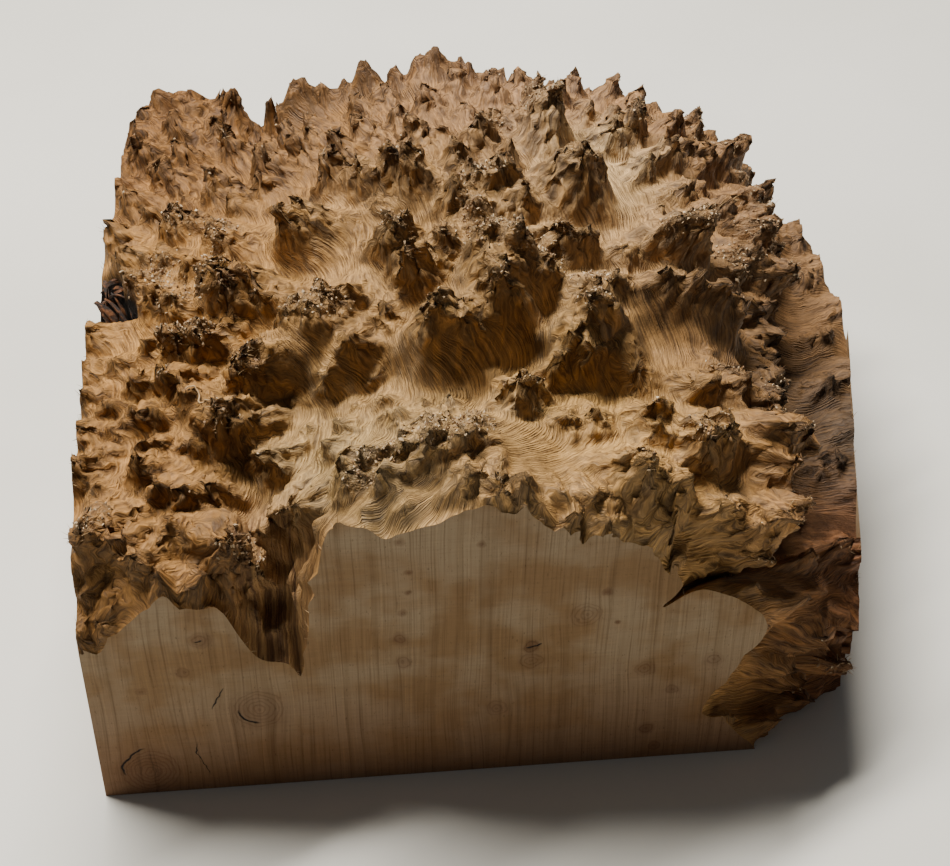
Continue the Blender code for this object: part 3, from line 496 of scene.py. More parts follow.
def sawn(mesh):
    """The mesh cut by each saw plane. The cut is closed by a flat face of the second material."""
    shape = bmesh.new()
    shape.from_mesh(mesh)
    bmesh.ops.recalc_face_normals(shape, faces=shape.faces)
    for face in shape.faces:
        face.smooth = True
    for point, away in SAW_CUTS.values():
        everything = shape.verts[:] + shape.edges[:] + shape.faces[:]
        cut = bmesh.ops.bisect_plane(
            shape, geom=everything, plane_co=point, plane_no=away, clear_outer=True, dist=1e-4
        )
        edges = [e for e in cut["geom_cut"] if isinstance(e, bmesh.types.BMEdge)]
        filled = bmesh.ops.triangle_fill(shape, edges=edges, use_beauty=True)
        for face in filled["geom"]:
            if isinstance(face, bmesh.types.BMFace):
                face.material_index = 1
                face.smooth = False
                face.normal_update()
                if face.normal.dot(Vector(away)) < 0:
                    face.normal_flip()
    bmesh.ops.triangulate(shape, faces=shape.faces)
    arris = shape.verts.layers.float.new("arris")
    for edge in shape.edges:
        edge.smooth = len({face.material_index for face in edge.link_faces}) == 1
        if not edge.smooth:
            for vert in edge.verts:
                vert[arris] = 1.0
    for vert in shape.verts:
        vert.co = (vert.co - CENTRE) * MM
    shape.to_mesh(mesh)
    shape.free()
    return mesh


def linear(hex_colour):
    """An sRGB hex value as the linear colour that a shader takes."""
    parts = np.array([int(hex_colour[i : i + 2], 16) for i in (0, 2, 4)]) / 255
    return tuple(np.where(parts < 0.04045, parts / 12.92, ((parts + 0.055) / 1.055) ** 2.4)) + (1.0,)


# Weathered burl takes on another tone in each region, and over the ledge a near-black tone is painted shade:
# x, y, reach, colour
SKIN_TONES = [
    (15, 30, 40, "8e6635"), (20, 110, 45, "9a7039"), (30, 220, 45, "81592c"), (80, 200, 40, "866136"),
    (80, 40, 25, "a18555"), (110, 35, 25, "a18254"), (120, 120, 40, "967446"), (90, 80, 25, "9a7646"),
    # the near-black tone over the ledge, at x 250 and y 80, is painted shade: the crown's shadow on the ledge
    (150, 50, 30, "a07c46"), (165, 120, 30, "a78557"), (150, 200, 45, "94704a"), (180, 20, 30, "b38a50"),
    (200, 80, 35, "7c5a33"), (220, 160, 45, "946c40"), (210, 15, 25, "8a5e33"), (250, 80, 38, "2e2419"),
    (250, 170, 35, "705538"), (174, 160, 20, "c4a877"), (235, 25, 25, "7a4a2b"), (55, 12, 14, "80562c"),
    (130, 10, 20, "a67f4b"),
]


def regional_tone(points):
    """The colour of the nearest regions, mixed by their distance."""
    total = np.zeros(points.shape[:2] + (4,))
    weight = np.zeros(points.shape[:2])
    for x, y, reach, colour in SKIN_TONES:
        near = np.exp(-((points[..., 0] - x) ** 2 + (points[..., 1] - y) ** 2) / reach**2) + 1e-6
        total += near[..., None] * linear(colour)
        weight += near
    return total / weight[..., None]


# The streaked furrow at the front left, in millimetres, and the spike height that the marks count as 1
FURROW_X, FURROW_HALF_WIDTH = 57, 13
FURROW_START, FURROW_LENGTH = 8, 26
TALL_SPIKE = 16.0

placing = Skin(PLACING_STEP)
skin = Skin(SKIN_STEP)
rise, stands, across, along, sunk, spoke = skin.grow(placing.small_spikes())
surface = skin.meet_edge(skin.held_back(skin.base + rise), 0.0, FRONT_EDGE)
surface = skin.meet_edge(surface, DEPTH, BACK_EDGE)
steep = 1 - np.clip((normals_of(surface) * skin.normal).sum(axis=2), 0, 1)
height = (rise * skin.normal).sum(axis=2)
comb = across + COMB_BEND * spread(height, 30)
crest = np.clip((height - spread(height, 160)) / 5, -1, 1) * 0.5 + 0.5
crumbled = np.zeros_like(stands)
for x, y, radius in CRUMBLED:
    reach = np.hypot(skin.base[..., 0] - x, skin.base[..., 1] - y) / radius
    on_top = (skin.numbers < CROWN_POINTS + 2)[:, None]
    crumbled = np.maximum(crumbled, np.clip(1.4 - reach, 0, 1) * on_top)
beside_furrow = (skin.base[..., 0] - FURROW_X) / FURROW_HALF_WIDTH
past_furrow = np.maximum(surface[..., 1] - FURROW_START, 0) / FURROW_LENGTH
furrow = np.exp(-(beside_furrow**4)) * np.exp(-(past_furrow**4))
marks = {
    "furrow": furrow, "across": across, "along": along, "comb": comb, "stands": stands / TALL_SPIKE,
    "steep": steep, "crest": crest, "sunk": sunk, "crumbled": crumbled, "tone": regional_tone(skin.base),
    "spoke": np.concatenate([spoke, np.ones_like(spoke[..., :1])], axis=2),
}
block_mesh = sawn(grid_mesh(surface, marks, "burl_block"))
block = in_scene("burl_block", block_mesh)


def mark_values(name):
    values = np.zeros(len(block_mesh.vertices), np.float32)
    block_mesh.attributes[name].data.foreach_get("value", values)
    return values


# Where crumbs cling and where fibres fray, for the pieces scattered on the skin
on_skin = mark_values("arris") == 0
worn_tip = np.clip((mark_values("stands") - 0.62) / 0.35, 0, 1)
crumbly = np.clip(mark_values("crumbled") * 0.9 + 0.3 * worn_tip**2, 0, 1) * on_skin
frayed = np.clip(mark_values("arris") + 0.35 * worn_tip**2, 0, 1)
for name, values in (("crumbs", crumbly), ("frayed", frayed)):
    block_mesh.attributes.new(name, "FLOAT", "POINT").data.foreach_set("value", values)


def node(tree, kind, inputs=None, **settings):
    """Adds a node with its settings. An input takes a value, or a socket that is linked to it."""
    made = tree.nodes.new(kind)
    for name, value in settings.items():
        setattr(made, name, value)
    for name, value in (inputs or {}).items():
        if isinstance(value, bpy.types.NodeSocket):
            tree.links.new(value, made.inputs[name])
        else:
            made.inputs[name].default_value = value
    return made


def new_material(name):
    material = bpy.data.materials.new(name)
    material.use_nodes = True
    tree = material.node_tree
    return material, tree, tree.nodes["Principled BSDF"]


# Raw burl skin: dry wood fibre as it grew under the bark. Silky fibre lines about 1 mm apart run round
# the spikes, coarser than the real ones so that they show. The steep flanks are darkened in umber streaks,
# partly a brown stain and partly painted shade, the tips crumble, and the deep hollows are painted
# near-black, partly the dark bark of the left pocket and partly painted shade in their depth.
burl_skin, tree, shader = new_material("raw burl skin")
mark = {name: node(tree, "ShaderNodeAttribute", attribute_name=name).outputs["Fac"] for name in marks}
tone = node(tree, "ShaderNodeAttribute", attribute_name="tone").outputs["Color"]
spoke = node(tree, "ShaderNodeAttribute", attribute_name="spoke").outputs["Color"]
spoke = node(tree, "ShaderNodeSeparateXYZ", {0: spoke})
way_down = node(tree, "ShaderNodeCombineXYZ", {0: spoke.outputs[0], 1: spoke.outputs[1]}).outputs[0]
way_down = node(tree, "ShaderNodeVectorMath", {0: way_down}, operation="NORMALIZE").outputs[0]
place = node(tree, "ShaderNodeTexCoord").outputs["Object"]


def maths(operation, *values, clamp=False):
    values = dict(enumerate(values))
    return node(tree, "ShaderNodeMath", values, operation=operation, use_clamp=clamp).outputs[0]


def combined(x, y, z=0.0):
    return node(tree, "ShaderNodeCombineXYZ", {0: x, 1: y, 2: z}).outputs[0]


def noise_value(where, detail, roughness=0.6, scale=1.0):
    settings = {"Vector": where, "Scale": scale, "Detail": detail, "Roughness": roughness}
    return node(tree, "ShaderNodeTexNoise", settings).outputs["Fac"]


def fibre_noise(course, width, length, detail, shift):
    """Noise stretched along the fibres, its width and length in millimetres."""
    across, along = maths("DIVIDE", mark[course], width), maths("DIVIDE", mark["along"], length)
    return noise_value(combined(across, along, shift), detail)


def flank_noise(streaks, length, detail, shift):
    """Noise in streaks down a spike's flank: about six times so many round it, and their length."""
    down = maths("DIVIDE", maths("MULTIPLY", mark["stands"], TALL_SPIKE), length)
    down = maths("ADD", maths("ADD", down, spoke.outputs[2]), shift)
    where = node(tree, "ShaderNodeVectorMath", {0: way_down, "Scale": streaks}, operation="SCALE").outputs[0]
    where = node(tree, "ShaderNodeVectorMath", {0: where, 1: combined(0.0, 0.0, down)}, operation="ADD")
    return noise_value(where.outputs[0], detail)


def streak_noise(width, length, detail):
    """Streaks that run back and down the slope, straight across the block's width."""
    xyz = node(tree, "ShaderNodeSeparateXYZ", {0: place})
    down = maths("DIVIDE", maths("SUBTRACT", xyz.outputs[1], xyz.outputs[2]), length * MM)
    bent = maths("ADD", xyz.outputs[0], maths("MULTIPLY", grain_noise(14, 2), 0.004))
    return noise_value(combined(maths("DIVIDE", bent, width * MM), down), detail)


def grain_noise(size, detail):
    """Even noise, with grains of the given size in millimetres."""
    return noise_value(place, detail, 0.65, 1000 / size)


def between(value, low, high, low_to=0.0, high_to=1.0):
    return node(
        tree,
        "ShaderNodeMapRange",
        {"Value": value, "From Min": low, "From Max": high, "To Min": low_to, "To Max": high_to},
        interpolation_type="SMOOTHSTEP",
    ).outputs[0]


def mixed(factor, first, second, blend="MIX"):
    made = node(tree, "ShaderNodeMix", data_type="RGBA", blend_type=blend)
    for socket, value in zip((made.inputs[0], made.inputs[6], made.inputs[7]), (factor, first, second)):
        if isinstance(value, bpy.types.NodeSocket):
            tree.links.new(value, socket)
        else:
            socket.default_value = value
    return made.outputs[2]


def tinted(factor, colour, tint):
    """The colour multiplied by the tint, as far as the factor says."""
    return mixed(factor, colour, (*tint, 1.0), "MULTIPLY")


grit = grain_noise(1.3, 3)
blotch = grain_noise(16, 3)
flank = between(mark["steep"], 0.1, 0.45)
tip = between(mark["stands"], 0.6, 1.0)
low = between(mark["crest"], 0.55, 0.15)
downhill = maths("MULTIPLY", between(mark["steep"], 0.04, 0.22), between(mark["stands"], 0.1, 0.26))


def along_fibre(in_valleys, on_flanks):
    """The first value in the valleys, and the second where the fibres run down a spike."""
    return maths("ADD", in_valleys, maths("MULTIPLY", downhill, maths("SUBTRACT", on_flanks, in_valleys)))


hairs = along_fibre(fibre_noise("comb", 0.75, 7, 3, 0.0), flank_noise(7.5, 5.0, 3, 0.0))
strands = fibre_noise("comb", 2.2, 24, 3, 7.0)
streaks = along_fibre(fibre_noise("across", 2.6, 34, 4, 3.0), flank_noise(3.4, 9.0, 4, 20.0))
waves = maths("ADD", maths("MULTIPLY", mark["comb"], 6.283 / COMB_PITCH), maths("MULTIPLY", strands, 9.0))
waves = maths("ADD", waves, maths("MULTIPLY", grain_noise(3.2, 2), 5.0))
waves = maths("MULTIPLY", maths("ADD", maths("SINE", waves), 1.0), 0.5)
combed = maths("MULTIPLY", between(grain_noise(17, 3), 0.4, 0.6), between(grain_noise(4.5, 2), 0.35, 0.6))
combed = maths("MULTIPLY", combed, maths("SUBTRACT", 1.0, downhill))
waves = maths("ADD", maths("MULTIPLY", maths("SUBTRACT", waves, 0.5), combed), 0.5)

colour = tinted(between(blotch, 0.3, 0.7, 0.0, 0.6), tone, (0.76, 0.72, 0.66))
colour = tinted(maths("MULTIPLY", low, 0.6), colour, (1.25, 1.3, 1.36))
# Painted shade: the steep flanks are darkened in umber streaks, partly a brown stain and partly painted shade
# on the flanks
colour = tinted(maths("MULTIPLY", flank, between(streaks, 0.36, 0.6, 0.0, 1.0)), colour, (0.62, 0.67, 0.86))
colour = tinted(flank, colour, (0.95, 0.95, 0.95))
colour = tinted(maths("MULTIPLY", flank, between(blotch, 0.5, 0.7, 0.0, 0.5)), colour, (1.0, 0.92, 0.84))
colour = tinted(between(strands, 0.55, 0.75, 0.0, 0.5), colour, (0.66, 0.6, 0.54))
colour = tinted(between(hairs, 0.5, 0.64, 0.0, 0.9), colour, (1.6, 1.6, 1.6))
colour = tinted(between(hairs, 0.5, 0.36, 0.0, 0.9), colour, (0.46, 0.43, 0.42))
colour = tinted(between(waves, 0.4, 0.0, 0.0, 0.9), colour, (0.52, 0.47, 0.42))
colour = tinted(between(waves, 0.6, 1.0, 0.0, 0.5), colour, (1.3, 1.3, 1.3))
colour = tinted(maths("MULTIPLY", tip, between(grit, 0.54, 0.42, 0.0, 0.6)), colour, (0.62, 0.56, 0.5))
pale = maths("MULTIPLY", mark["crumbled"], between(grit, 0.45, 0.6, 0.1, 0.95))
colour = mixed(maths("MULTIPLY", pale, 0.45), colour, linear("9a8262"))
dark = maths("MULTIPLY", mark["crumbled"], between(grit, 0.46, 0.38, 0.0, 0.7))
colour = tinted(dark, colour, (0.6, 0.54, 0.48))
furrow_streak = streak_noise(1.3, 26, 4)
furrow_colour = mixed(between(furrow_streak, 0.36, 0.62), linear("5a3e28"), linear("b88f5c"))
colour = mixed(maths("MULTIPLY", mark["furrow"], 0.85), colour, furrow_colour)
# Painted shade: deep hollows are painted near-black, partly the dark bark of the left pocket and partly
# painted shade in their depth
colour = mixed(between(mark["sunk"], 0.08, 0.4), colour, linear("170d07"))
tree.links.new(colour, shader.inputs["Base Color"])
shader.inputs["Roughness"].default_value = 0.66
shader.inputs["Specular IOR Level"].default_value = 0.3

relief = maths("ADD", maths("MULTIPLY", waves, 0.5), maths("MULTIPLY", hairs, 1.3))
relief = maths("ADD", relief, maths("MULTIPLY", maths("MULTIPLY", furrow_streak, mark["furrow"]), 2.0))
fibre_bump = node(tree, "ShaderNodeBump", {"Height": relief, "Strength": 1.0, "Distance": 0.0007})
crumbly_here = maths("ADD", maths("MAXIMUM", tip, mark["crumbled"]), 0.15)
crumb_relief = maths("MULTIPLY", grain_noise(2.2, 4), crumbly_here)
crumb_bump = node(
    tree,
    "ShaderNodeBump",
    {"Height": crumb_relief, "Strength": 0.9, "Distance": 0.002, "Normal": fibre_bump.outputs[0]},
)
tree.links.new(crumb_bump.outputs[0], shader.inputs["Normal"])


# Sawn burl: end faces off a bandsaw. Growth lines 3.4 mm apart stand upright on the front, pin knots and
# two round knots swirl them, the wood browns towards the base, and the teeth left faint marks.
sawn_burl, tree, shader = new_material("sawn burl")
place = node(tree, "ShaderNodeTexCoord").outputs["Object"]
xyz = node(tree, "ShaderNodeSeparateXYZ", {0: place})
x_mm = maths("ADD", maths("MULTIPLY", xyz.outputs[0], 1000), WIDTH / 2)
y_mm = maths("ADD", maths("MULTIPLY", xyz.outputs[1], 1000), DEPTH / 2)
z_mm = maths("MULTIPLY", xyz.outputs[2], 1000)

GROWTH_LINE = 3.4  # from one growth line to the next
PITH = (150, 120)  # the tree's middle: how far left of the block, and how far back

# Knots in the sawn front: x, z, radius, how dark
KNOTS = [
    (35, 66, 3.2, 0.45), (50, 35, 8.5, 0.3), (15, 10, 10, 0.4), (93, 61, 2.6, 0.55), (94, 51, 2.6, 0.4),
    (96, 88, 1.3, 0.6), (96, 80, 1.1, 0.6), (94, 72, 1.4, 0.5), (94, 100, 1.4, 0.5), (117, 97, 1.3, 0.5),
    (132, 54, 2.4, 0.65), (154, 75, 1.6, 0.7), (158, 62, 1.0, 0.8), (167, 41, 3.2, 0.35), (188, 43, 3.0, 0.3),
    (169, 14, 2.4, 0.5), (176, 31, 2.0, 0.4), (29, 53, 2.0, 0.35), (16, 46, 1.6, 0.35), (122, 28, 3.5, 0.3),
    (148, 66, 5.0, 0.2), (172, 5, 2.0, 0.4), (132, 48, 4.0, 0.25),
]
# Cracks in it, as arcs: centre x and z, radius, the angles that they start and end at, width
CRACKS = [
    (50, 35, 6.2, 175, 275, 0.45), (55, 33, 19.0, 140, 172, 0.3), (17, 11, 10.2, 100, 195, 0.4),
    (60, 20, 30, 175, 208, 0.2), (132, 64, 10, 262, 292, 0.3), (35, 60, 6, 80, 105, 0.3),
]


def face_noise(x_size, y_size, z_size, detail, bent=0.0):
    """Noise in the solid wood, its grains' size along each side in millimetres."""
    x = maths("DIVIDE", maths("ADD", x_mm, bent), x_size)
    where = combined(x, maths("DIVIDE", y_mm, y_size), maths("DIVIDE", z_mm, z_size))
    return noise_value(where, detail, 0.55)


def length_of(x, y):
    return maths("SQRT", maths("ADD", maths("MULTIPLY", x, x), maths("MULTIPLY", y, y)))


rough_x = maths("MULTIPLY", maths("SUBTRACT", face_noise(5, 5, 5, 2), 0.5), 3.0)
rough_z = maths("MULTIPLY", maths("SUBTRACT", face_noise(5.3, 9, 5.3, 2, 31.0), 0.5), 3.0)


def offset_from(x, z):
    """Across, up and how far from a place in the front face, made uneven by the wood."""
    right = maths("ADD", maths("SUBTRACT", x_mm, x), rough_x)
    up = maths("ADD", maths("SUBTRACT", z_mm, z), rough_z)
    return right, up, length_of(right, up)


bend = knot_dark = knot_rings = 0.0
for x, z, radius, dark in KNOTS:
    right, up, distance = offset_from(x, z)
    away = maths("DIVIDE", maths("MULTIPLY", distance, distance), radius**2)
    part = maths("DIVIDE", 1.0, maths("ADD", away, 0.8))
    bend = maths("ADD", bend, maths("MULTIPLY", maths("MULTIPLY", right, part), -0.22))
    knot_dark = maths("MAXIMUM", knot_dark, between(away, 1.8, 0.1, 0.0, dark))
    ring = maths("SINE", maths("MULTIPLY", distance, 4.4))
    knot_rings = maths("MAXIMUM", knot_rings, maths("MULTIPLY", ring, between(away, 1.2, 0.7)))

crack = 0.0
for x, z, radius, start, end, width in CRACKS:
    right, up, distance = offset_from(x, z)
    beside = maths("ABSOLUTE", maths("SUBTRACT", distance, radius))
    middle = np.radians((start + end) / 2)
    reach = np.radians((end - start) / 2)
    facing = maths("ADD", maths("MULTIPLY", right, np.cos(middle)), maths("MULTIPLY", up, np.sin(middle)))
    facing = maths("DIVIDE", facing, distance)
    open_here = between(facing, np.cos(reach), min(1.0, np.cos(reach * 0.6)))
    crack = maths("MAXIMUM", crack, maths("MULTIPLY", between(beside, width, width * 0.3), open_here))
crack = maths("MULTIPLY", crack, between(y_mm, 12, 6))

drift = maths("MULTIPLY", face_noise(70, 60, 110, 2), 5.0)
from_pith = length_of(maths("ADD", x_mm, PITH[0]), maths("SUBTRACT", y_mm, PITH[1]))
shift = maths("ADD", maths("ADD", bend, drift), maths("SUBTRACT", from_pith, x_mm))
growth = face_noise(0.55, 40, 45, 3, shift)
broad_growth = face_noise(2.6, 60, 120, 2, shift)
patches = face_noise(30, 40, 22, 3)
fine_grit = face_noise(0.7, 0.7, 1.8, 3)
saw_marks = face_noise(9.0, 9.0, 0.8, 2)
uneven = maths("MULTIPLY", face_noise(9, 30, 140, 1), 1.6)
rings = maths("PINGPONG", maths("ADD", maths("DIVIDE", maths("ADD", x_mm, shift), GROWTH_LINE), uneven), 0.5)
ring_line = maths("MULTIPLY", between(rings, 0.09, 0.0), between(face_noise(3, 30, 26, 2, shift), 0.38, 0.6))

colour = mixed(between(patches, 0.38, 0.62), linear("99856a"), linear("876a48"))
low = between(maths("ADD", z_mm, maths("MULTIPLY", patches, 40)), 78, 14)
colour = mixed(maths("MULTIPLY", low, 0.8), colour, linear("7d573a"))
colour = tinted(between(growth, 0.5, 0.32, 0.0, 0.7), colour, (0.7, 0.66, 0.6))
colour = tinted(between(growth, 0.54, 0.7, 0.0, 0.7), colour, (1.22, 1.22, 1.2))
colour = tinted(between(broad_growth, 0.5, 0.34, 0.0, 0.6), colour, (0.78, 0.74, 0.68))
colour = tinted(maths("MULTIPLY", ring_line, 0.7), colour, (0.58, 0.52, 0.46))
colour = tinted(between(saw_marks, 0.5, 0.7, 0.0, 0.35), colour, (1.18, 1.16, 1.14))
colour = tinted(between(saw_marks, 0.48, 0.3, 0.0, 0.35), colour, (0.84, 0.82, 0.8))
colour = tinted(knot_dark, colour, (0.52, 0.38, 0.3))
colour = tinted(maths("MULTIPLY", knot_rings, 0.5, clamp=True), colour, (0.6, 0.5, 0.45))
colour = tinted(between(fine_grit, 0.6, 0.74, 0.0, 0.8), colour, (0.5, 0.45, 0.4))
# Painted shade: the cracks are painted near-black, the shade inside the open cracks
colour = mixed(crack, colour, linear("0e0805"))
tree.links.new(colour, shader.inputs["Base Color"])
shader.inputs["Roughness"].default_value = 0.74
shader.inputs["Specular IOR Level"].default_value = 0.28
saw_relief = maths("ADD", maths("MULTIPLY", growth, 1.0), maths("MULTIPLY", saw_marks, 0.6))
saw_relief = maths("ADD", saw_relief, maths("MULTIPLY", fine_grit, 0.5))
saw_relief = maths("SUBTRACT", saw_relief, maths("MULTIPLY", crack, 3.0))
saw_bump = node(tree, "ShaderNodeBump", {"Height": saw_relief, "Strength": 0.6, "Distance": 0.00025})
tree.links.new(saw_bump.outputs[0], shader.inputs["Normal"])

block_mesh.materials.append(burl_skin)
block_mesh.materials.append(sawn_burl)
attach(block, "root")
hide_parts("burl_blank")


# Loose crumbs: the wood of the bud tips has rotted to pale crumbs of 1 to 3 mm, which cling there in
# clusters. One rough chip is scattered over the skin's crumbling places.
def mesh_object(name, points, faces):
    mesh = bpy.data.meshes.new(name)
    mesh.from_pydata(points, [], faces)
    return in_scene(name, mesh)


def rough_chip():
    """A crumb: the hull of a few scattered points, one unit across."""
    random = np.random.default_rng(4)
    shape = bmesh.new()
    for point in random.normal(size=(11, 3)):
        shape.verts.new(point / np.linalg.norm(point) * random.uniform(0.32, 0.5))
    bmesh.ops.convex_hull(shape, input=shape.verts)
    mesh = bpy.data.meshes.new("chip")
    shape.to_mesh(mesh)
    shape.free()
    return bpy.data.objects.new("chip", mesh)


def scatter_tree(name, material, upright):
    """Geometry nodes that scatter a small shape over a surface, densely where its mark is high."""
    tree = bpy.data.node_groups.new(name, "GeometryNodeTree")
    for label, kind in (
        ("Surface", "Object"), ("Shape", "Object"), ("Mark", "String"), ("Per square metre", "Float"),
        ("Smallest", "Vector"), ("Largest", "Vector"), ("Seed", "Int"),
    ):
        tree.interface.new_socket(label, in_out="INPUT", socket_type="NodeSocket" + kind)
    tree.interface.new_socket("Scattered", in_out="OUTPUT", socket_type="NodeSocketGeometry")
    given = node(tree, "NodeGroupInput").outputs
    surface = node(tree, "GeometryNodeObjectInfo", {"Object": given["Surface"]}, transform_space="RELATIVE")
    mark = node(tree, "GeometryNodeInputNamedAttribute", {"Name": given["Mark"]}, data_type="FLOAT")
    dense = {0: mark.outputs[0], 1: given["Per square metre"]}
    dense = node(tree, "ShaderNodeMath", dense, operation="MULTIPLY").outputs[0]
    face_kind = node(tree, "GeometryNodeInputMaterialIndex").outputs[0]
    on_skin = node(tree, "ShaderNodeMath", {0: face_kind, 1: 0.5}, operation="LESS_THAN").outputs[0]
    density = node(tree, "ShaderNodeMath", {0: dense, 1: on_skin}, operation="MULTIPLY")
    points = node(
        tree,
        "GeometryNodeDistributePointsOnFaces",
        {"Mesh": surface.outputs["Geometry"], "Density": density.outputs[0], "Seed": given["Seed"]},
    )
    turn = {0: (-3.14, -3.14, -3.14), 1: (3.14, 3.14, 3.14), "Seed": given["Seed"]}
    turn = node(tree, "FunctionNodeRandomValue", turn, data_type="FLOAT_VECTOR").outputs[0]
    if upright:
        strewn = node(tree, "ShaderNodeVectorMath", {0: turn, "Scale": 0.22}, operation="SCALE").outputs[0]
        strewn = node(tree, "ShaderNodeVectorMath", {0: points.outputs["Normal"], 1: strewn}, operation="ADD")
        strewn = {"Vector": strewn.outputs[0]}
        turn = node(tree, "FunctionNodeAlignRotationToVector", strewn, axis="Z").outputs[0]
    size = {0: given["Smallest"], 1: given["Largest"], "Seed": given["Seed"]}
    size = node(tree, "FunctionNodeRandomValue", size, data_type="FLOAT_VECTOR").outputs[0]
    shape = node(tree, "GeometryNodeObjectInfo", {"Object": given["Shape"]}).outputs["Geometry"]
    placed = {"Points": points.outputs["Points"], "Instance": shape, "Rotation": turn, "Scale": size}
    placed = node(tree, "GeometryNodeInstanceOnPoints", placed)
    shade = node(tree, "FunctionNodeRandomValue", {"Seed": given["Seed"]}, data_type="FLOAT").outputs[1]
    shaded = node(
        tree,
        "GeometryNodeStoreNamedAttribute",
        {"Geometry": placed.outputs[0], "Name": "shade", "Value": shade},
        data_type="FLOAT",
        domain="INSTANCE",
    )
    solid = node(tree, "GeometryNodeRealizeInstances", {0: shaded.outputs[0]})
    painted = node(tree, "GeometryNodeSetMaterial", {0: solid.outputs[0], "Material": material})
    node(tree, "NodeGroupOutput", {0: painted.outputs[0]})
    return tree


def scattered(name, tree, **values):
    """A plain mesh object made by the tree with the given inputs."""
    helper = mesh_object(name + "_helper", [(0, 0, 0)], [])
    modifier = helper.modifiers.new("Scatter", "NODES")
    modifier.node_group = tree
    sockets = {item.name: item.identifier for item in tree.interface.items_tree if item.in_out == "INPUT"}
    for label, value in values.items():
        modifier[sockets[label.replace("_", " ")]] = value
    helper.update_tag()
    graph = bpy.context.evaluated_depsgraph_get()
    mesh = bpy.data.meshes.new_from_object(helper.evaluated_get(graph))
    mesh.name = name
    bpy.data.objects.remove(helper)
    return in_scene(name, mesh)


crumb_wood, tree, shader = new_material("rotted crumbs of wood")
shade = node(tree, "ShaderNodeAttribute", attribute_name="shade").outputs["Fac"]
colour = mixed(between(shade, 0.0, 0.7), linear("856648"), linear("b29a79"))
tree.links.new(mixed(between(shade, 0.8, 1.0), colour, linear("cdb898")), shader.inputs["Base Color"])
shader.inputs["Roughness"].default_value = 0.8
crumbs = scattered(
    "loose_crumbs",
    scatter_tree("scatter crumbs", crumb_wood, upright=False),
    Surface=block,
    Shape=rough_chip(),
    Mark="crumbs",
    Per_square_metre=330000.0,
    Smallest=(0.0007, 0.0006, 0.0005),
    Largest=(0.0028, 0.0021, 0.0015),
    Seed=3,
)
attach(crumbs, "root")


# Frayed fibres: wherever the saw left the skin's edge and on the sharpest tips, slivers of fibre 1 to
# 3 mm long stand loose from the wood. One bent sliver is scattered there, drawn thicker than real ones.
def ring_faces(first, sides):
    """The faces between one ring of points and the next, from the first ring's first point."""
    after = first + sides
    return [(first + n, first + (n + 1) % sides, after + (n + 1) % sides, after + n) for n in range(sides)]


def sliver():
    """A bent three-sided needle, one unit long."""
    points, faces = [], []
    bends = ((0, 0, 1), (0.35, 0.03, 0.8), (0.7, 0.12, 0.5), (1, 0.28, 0.05))
    for k, (height, lean, width) in enumerate(bends):
        for turn in (0.0, 2.1, 4.2):
            points.append((0.5 * width * np.cos(turn) + lean * 8, 0.5 * width * np.sin(turn), height))
        if k:
            faces += ring_faces(3 * k - 3, 3)
    mesh = bpy.data.meshes.new("sliver")
    mesh.from_pydata(points, [], faces + [(9, 10, 11), (2, 1, 0)])
    return bpy.data.objects.new("sliver", mesh)


dry_fibre, tree, shader = new_material("dry wood fibre")
shade = node(tree, "ShaderNodeAttribute", attribute_name="shade").outputs["Fac"]
tree.links.new(mixed(shade, linear("6e4a2a"), linear("c6a97c")), shader.inputs["Base Color"])
shader.inputs["Roughness"].default_value = 0.7
slivers = scattered(
    "frayed_fibres",
    scatter_tree("scatter slivers", dry_fibre, upright=True),
    Surface=block,
    Shape=sliver(),
    Mark="frayed",
    Per_square_metre=500000.0,
    Smallest=(0.00012, 0.00012, 0.001),
    Largest=(0.00026, 0.00026, 0.003),
    Seed=8,
)
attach(slivers, "root")


# Bark shreds: curled strips of dark inner bark left in the pocket of the left edge, each a thin bent
# ribbon a few millimetres wide that the wood grew round.
STRIP_STEPS = 8


def ribbon(start, run, rise, curl, width, thick, twist):
    """Points and faces of a bent strip, in millimetres: where it starts and how far it runs and curls."""
    points, faces = [], []
    run = Vector(run)
    side = run.cross(Vector((0, 0, 1))).normalized()
    for k in range(STRIP_STEPS + 1):
        t = k / STRIP_STEPS
        middle = Vector(start) + run * t + Vector((0, 0, rise * np.sin(curl * t)))
        across = Matrix.Rotation(twist * t, 3, run) @ side * (width * (0.35 + 0.65 * np.sin(3.0 * t + 0.1)))
        up = across.cross(run).normalized() * thick
        left, right = middle - across / 2, middle + across / 2
        points += [left, right, right + up, left + up]
        if k:
            faces += ring_faces(4 * k - 4, 4)
    last = 4 * STRIP_STEPS
    return points, faces + [(3, 2, 1, 0), (last, last + 1, last + 2, last + 3)]


